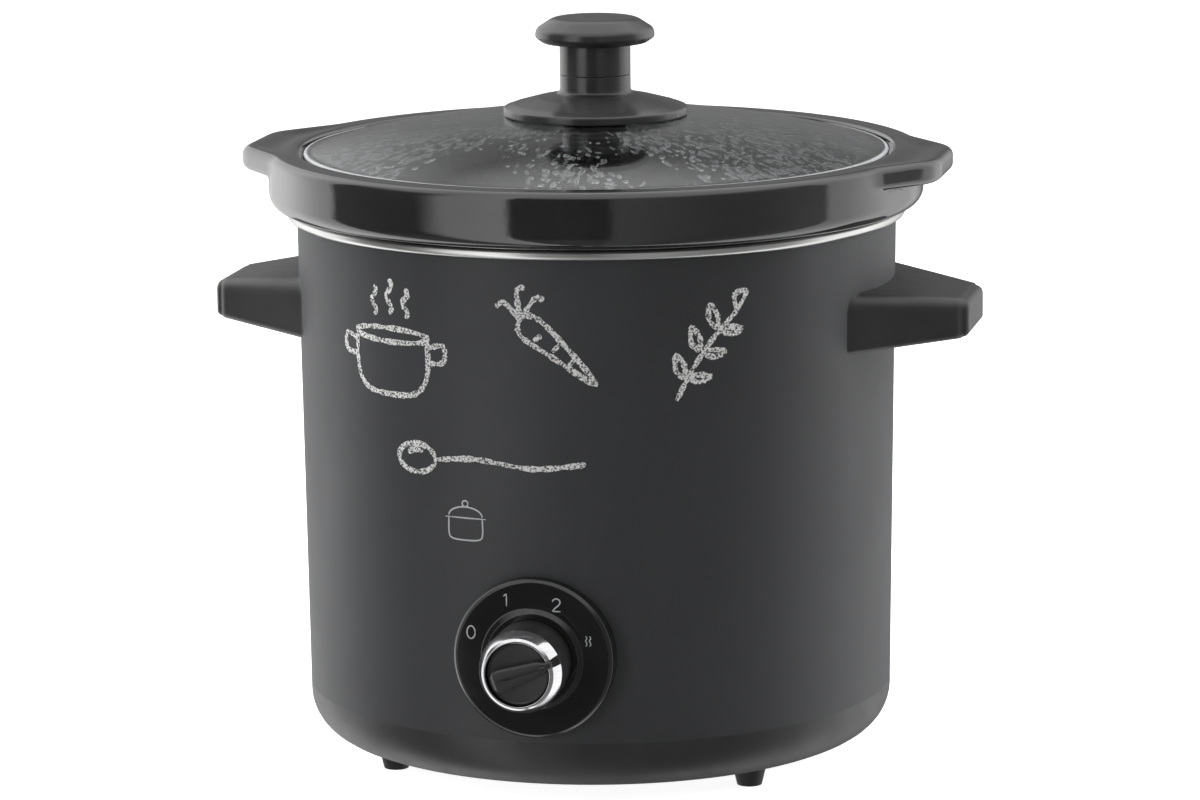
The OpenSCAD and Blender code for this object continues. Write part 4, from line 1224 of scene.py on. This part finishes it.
def chalk_strokes():
    """A loose sketch: a steaming pot, a carrot, a sprig of leaves and a spoon."""
    pot = [
        smooth_line([(-78, 150), (-78, 138), (-75, 131), (-68, 128), (-52, 128), (-45, 131),
                     (-42, 138), (-42, 150)]),
        loop_line(-60, 150, 18.5, 2.6, 200, 545),
        smooth_line([(-79, 147), (-85, 148), (-85, 142), (-78, 141)]),
        smooth_line([(-41, 147), (-35, 148), (-35, 142), (-42, 141)]),
        wavy(-68, 157, 168, 1.3), wavy(-60, 158, 171, 1.4), wavy(-52, 157, 168, 1.3)]
    carrot = [
        smooth_line([(-22, 157), (-20, 161), (-14, 160), (-4, 150), (7, 136), (-9, 146), (-20, 153),
                     (-22, 157)]),
        smooth_line([(-16, 152), (-13, 154)], 4), smooth_line([(-9, 148), (-6, 151)], 4),
        smooth_line([(-3, 143), (-1, 145)], 4),
        smooth_line([(-21, 160), (-27, 166), (-30, 164)]),
        smooth_line([(-21, 161), (-22, 170), (-19, 172)]),
        smooth_line([(-20, 161), (-15, 168), (-12, 167)])]
    sprig = [smooth_line([(22, 131), (28, 142), (36, 153), (46, 163)])]
    for x, y, lean in ((26, 139, 1), (32, 148, 1), (39, 156, 1), (25, 139, -1), (31, 149, -1),
                       (38, 157, -1)):
        out, up = (9, 0.5) if lean > 0 else (-3, 9)
        sprig.append(smooth_line([
            (x, y), (x + out * 0.35 - up * 0.25, y + up * 0.4 + out * 0.1),
            (x + out, y + up), (x + out * 0.55 + up * 0.2, y + up * 0.45 - out * 0.2), (x, y)], 6))
    sprig.append(smooth_line([(46, 163), (50, 170), (45, 169), (46, 163)], 6))
    spoon = [
        loop_line(-46, 106, 8.5, 5.4, 0, 362),
        smooth_line([(-37.5, 106), (-20, 107.5), (2, 105), (22, 107)]),
        smooth_line([(-50, 107.5), (-47, 109), (-43, 108.6)], 5)]
    return (moved(pot, 0, 28) + moved(carrot, 17, 28) + moved(sprig, 32, 26)
            + moved(spoon, -2, 27))


def build_chalk(rng):
    points, faces = [], []
    for line in chalk_strokes():
        ribbon([(x * MM, z * MM) for x, z in line], 2.1 * MM, on_shell, faces, points, rng)
    return add_piece("chalk_sketch", points, faces)


def build_badge():
    """A small plain pot pictogram where such cookers carry a badge."""
    cx, cz = -27.0, 110.0
    lines = [
        smooth_line([(cx - 7, cz + 2), (cx - 7, cz - 4), (cx - 5.5, cz - 6), (cx, cz - 6.4),
                     (cx + 5.5, cz - 6), (cx + 7, cz - 4), (cx + 7, cz + 2)], 5),
        [(cx - 8.4, cz + 2), (cx, cz + 2), (cx + 8.4, cz + 2)],
        loop_line(cx, cz + 2.6, 7.0, 3.6, 0, 180, 16),
        loop_line(cx, cz + 7.4, 1.2, 1.2, 0, 360, 12)]
    points, faces = [], []
    for line in lines:
        ribbon([(x * MM, z * MM) for x, z in line], 0.6 * MM, on_shell, faces, points)
    return add_piece("pot_badge", points, faces)


class COOKER_OT_drawing(bpy.types.Operator):
    """Draws the plain chalk sketch and the small pot sign on the shell"""
    bl_idname = "cooker.drawing"
    bl_label = "Shell drawing"

    def execute(self, context):
        if context.scene.cooker_finish.draw_chalk:
            finish_piece(build_chalk(random.Random(3)), finish("chalk"), "housing")
        finish_piece(build_badge(), finish("print"), "housing")
        return {"FINISHED"}


# --- stage --------------------------------------------------------------------------------------

def place_camera(settings):
    """Camera at the product view's angle."""
    data = bpy.data.cameras.new("camera")
    data.lens = settings.lens
    data.sensor_width = 36
    data.clip_end = 100
    camera = bpy.data.objects.new("camera", data)
    bpy.context.scene.collection.objects.link(camera)
    az, el = settings.azimuth, settings.elevation
    right = Vector((math.cos(az), math.sin(az), 0))
    out = Vector((math.sin(az), -math.cos(az), 0)) * math.cos(el) + Vector((0, 0, math.sin(el)))
    target = Vector((AXIS.x, AXIS.y, settings.target)) + right * settings.aside
    camera.location = target + out * settings.distance
    camera.rotation_mode = "QUATERNION"
    turn = (-out).to_track_quat("-Z", "Y")
    roll = Quaternion((0, 0, 1), -settings.roll)
    camera.rotation_quaternion = turn @ roll
    bpy.context.scene.camera = camera


def add_softbox(name, spot, size, power, aim):
    """A rectangular softbox that faces a point."""
    data = bpy.data.lights.new(name, "AREA")
    data.shape = "RECTANGLE"
    data.size, data.size_y = size
    data.energy = power
    light = bpy.data.objects.new(name, data)
    light.location = spot
    light.rotation_mode = "QUATERNION"
    light.rotation_quaternion = (Vector(aim) - Vector(spot)).to_track_quat("-Z", "Y")
    light.visible_glossy = False
    light.visible_transmission = False
    bpy.context.scene.collection.objects.link(light)


def build_floor():
    """A pale sweep that stays pale to the eye and dimmer in reflections."""
    size = 12.0
    corners = [(-size, -size, 0), (size, -size, 0), (size, size, 0), (-size, size, 0)]
    piece = add_piece("floor", corners, [(0, 1, 2, 3)])
    material, tree, shader = blank_material("pale_floor")
    grain_node = place_group(tree, "Moulded grain", -900, 300, Grain_Scale=400.0, Mottle_Scale=3.0)
    tone = vary_colour(tree, shader, grain_node.outputs["Mottle"], (0.88,) * 3, (0.9,) * 3)
    path = add_node(tree, "ShaderNodeLightPath", -900, -100)
    dim = add_node(tree, "ShaderNodeMix", -150, 300, data_type="RGBA")
    dim.inputs["A"].default_value = (0.35, 0.35, 0.35, 1)
    tree.links.new(path.outputs["Is Camera Ray"], dim.inputs["Factor"])
    tree.links.new(tone.outputs["Result"], dim.inputs["B"])
    tree.links.new(dim.outputs["Result"], shader.inputs["Base Color"])
    glow = add_node(tree, "ShaderNodeMath", -150, 0, operation="MULTIPLY")
    glow.inputs[1].default_value = 0.9
    tree.links.new(path.outputs["Is Camera Ray"], glow.inputs[0])
    tree.links.new(glow.outputs["Value"], shader.inputs["Emission Strength"])
    shader.inputs["Emission Color"].default_value = (1, 1, 1, 1)
    shader.inputs["Roughness"].default_value = 0.9
    piece.data.materials.append(material)
    piece.visible_glossy = False


# how bright the studio looks in reflections: turn from the front in degrees, brightness
STUDIO_BANDS = (
    (-180, 0.09), (-164, 0.1), (-152, 0.5), (-118, 0.95), (-94, 0.8), (-90, 0.07), (-54, 0.07),
    (-40, 0.9), (-20, 1.0), (-17, 0.06), (16, 0.05), (19, 0.24), (66, 0.12), (98, 0.2),
    (101, 0.75), (130, 0.9), (158, 0.5), (180, 0.09))
STUDIO_POWER = 1.9


def build_world():
    """White surroundings, with soft studio panels in reflections and an even dimmer fill."""
    world = bpy.data.worlds.new("studio")
    bpy.context.scene.world = world
    world.use_nodes = True
    tree = world.node_tree
    ground = tree.nodes["Background"]
    place = add_node(tree, "ShaderNodeTexCoord", -1500, 0)
    split = add_node(tree, "ShaderNodeSeparateXYZ", -1300, 0)
    front = add_node(tree, "ShaderNodeMath", -1150, -100, operation="MULTIPLY")
    front.inputs[1].default_value = -1.0
    turn = add_node(tree, "ShaderNodeMath", -1000, 0, operation="ARCTAN2")
    share = map_range(tree, -850, 0, -math.pi, math.pi)
    ramp = add_node(tree, "ShaderNodeValToRGB", -650, 0)
    ramp.color_ramp.interpolation = "EASE"
    for i, (angle, bright) in enumerate(STUDIO_BANDS):
        spot = (angle + 180) / 360
        stops = ramp.color_ramp.elements
        stop = stops[0] if i == 0 else stops[-1] if i == len(STUDIO_BANDS) - 1 else stops.new(spot)
        stop.position = spot
        stop.color = (bright, bright, bright, 1)
    above = map_range(tree, -850, -300, 0.42, 0.75)
    above.inputs["To Max"].default_value = 0.8
    below = map_range(tree, -850, -550, -0.35, -0.7)
    below.inputs["To Max"].default_value = 0.14
    with_top = add_node(tree, "ShaderNodeMath", -400, -100, operation="MAXIMUM")
    with_floor = add_node(tree, "ShaderNodeMath", -250, -200, operation="MAXIMUM")
    panels = add_node(tree, "ShaderNodeMath", -200, 0, operation="MULTIPLY")
    panels.inputs[1].default_value = STUDIO_POWER
    path = add_node(tree, "ShaderNodeLightPath", -650, 500)
    fill = add_node(tree, "ShaderNodeMix", -100, 100, data_type="FLOAT")
    fill.inputs[2].default_value = 0.3
    level = add_node(tree, "ShaderNodeMix", 50, 200, data_type="FLOAT")
    level.inputs[3].default_value = 1.0
    for source, target in (
            (place.outputs["Generated"], split.inputs["Vector"]),
            (split.outputs["X"], turn.inputs[0]), (split.outputs["Y"], front.inputs[0]),
            (front.outputs["Value"], turn.inputs[1]),
            (turn.outputs["Value"], share.inputs["Value"]),
            (share.outputs["Result"], ramp.inputs["Fac"]),
            (split.outputs["Z"], above.inputs["Value"]),
            (split.outputs["Z"], below.inputs["Value"]),
            (ramp.outputs["Color"], with_top.inputs[0]),
            (above.outputs["Result"], with_top.inputs[1]),
            (with_top.outputs["Value"], with_floor.inputs[0]),
            (below.outputs["Result"], with_floor.inputs[1]),
            (path.outputs["Is Glossy Ray"], fill.inputs[0]),
            (with_floor.outputs["Value"], panels.inputs[0]),
            (panels.outputs["Value"], fill.inputs[3]),
            (path.outputs["Is Camera Ray"], level.inputs[0]), (fill.outputs[0], level.inputs[2]),
            (level.outputs[0], ground.inputs["Strength"])):
        tree.links.new(source, target)
    ground.inputs["Color"].default_value = (1, 1, 1, 1)


class COOKER_OT_stage(bpy.types.Operator):
    """Sets the floor, the soft studio light and the camera"""
    bl_idname = "cooker.stage"
    bl_label = "Stage"

    def execute(self, context):
        place_camera(context.scene.cooker_stage)
        build_floor()
        build_world()
        middle = (AXIS.x, AXIS.y, 0.14)
        add_softbox("left box", (-1.25, 0.35, 0.5), (0.7, 1.2), 22, middle)
        add_softbox("right box", (1.25, 0.62, 0.5), (0.7, 1.2), 20, middle)
        add_softbox("front left box", (-0.75, -1.6, 0.7), (0.35, 1.1), 7, middle)
        add_softbox("top box", (0.0, 0.1, 1.6), (1.3, 0.9), 16, middle)
        context.scene.view_settings.view_transform = "Standard"
        return {"FINISHED"}


class COOKER_PT_panel(bpy.types.Panel):
    """The cooker's pieces in the sidebar"""
    bl_idname = "COOKER_PT_panel"
    bl_label = "Slow Cooker"
    bl_space_type = "VIEW_3D"
    bl_region_type = "UI"
    bl_category = "Slow Cooker"

    def draw(self, context):
        for kind in STEPS:
            self.layout.operator(kind.bl_idname, text=kind.bl_label)
        for name in SETTINGS:
            group = getattr(context.scene, name)
            box = self.layout.box()
            for key in group.__annotations__:
                box.prop(group, key)


STEPS = (
    COOKER_OT_finishes, COOKER_OT_crock, COOKER_OT_lid, COOKER_OT_handles, COOKER_OT_control,
    COOKER_OT_drawing, COOKER_OT_stage)
SETTINGS = {
    "cooker_crock": CookerCrockSettings,
    "cooker_lid": CookerLidSettings,
    "cooker_handle": CookerHandleSettings,
    "cooker_control": CookerControlSettings,
    "cooker_finish": CookerFinishSettings,
    "cooker_stage": CookerStageSettings,
}


def register():
    for kind in (*SETTINGS.values(), *STEPS, COOKER_PT_panel):
        bpy.utils.register_class(kind)
    for name, kind in SETTINGS.items():
        setattr(bpy.types.Scene, name, PointerProperty(type=kind))


def unregister():
    for name in SETTINGS:
        delattr(bpy.types.Scene, name)
    for kind in reversed((*SETTINGS.values(), *STEPS, COOKER_PT_panel)):
        bpy.utils.unregister_class(kind)


def main():
    register()
    for step in ("finishes", "crock", "lid", "handles", "control", "drawing", "stage"):
        getattr(bpy.ops.cooker, step)()
    bpy.context.view_layer.update()


if __name__ == "__main__":
    main()
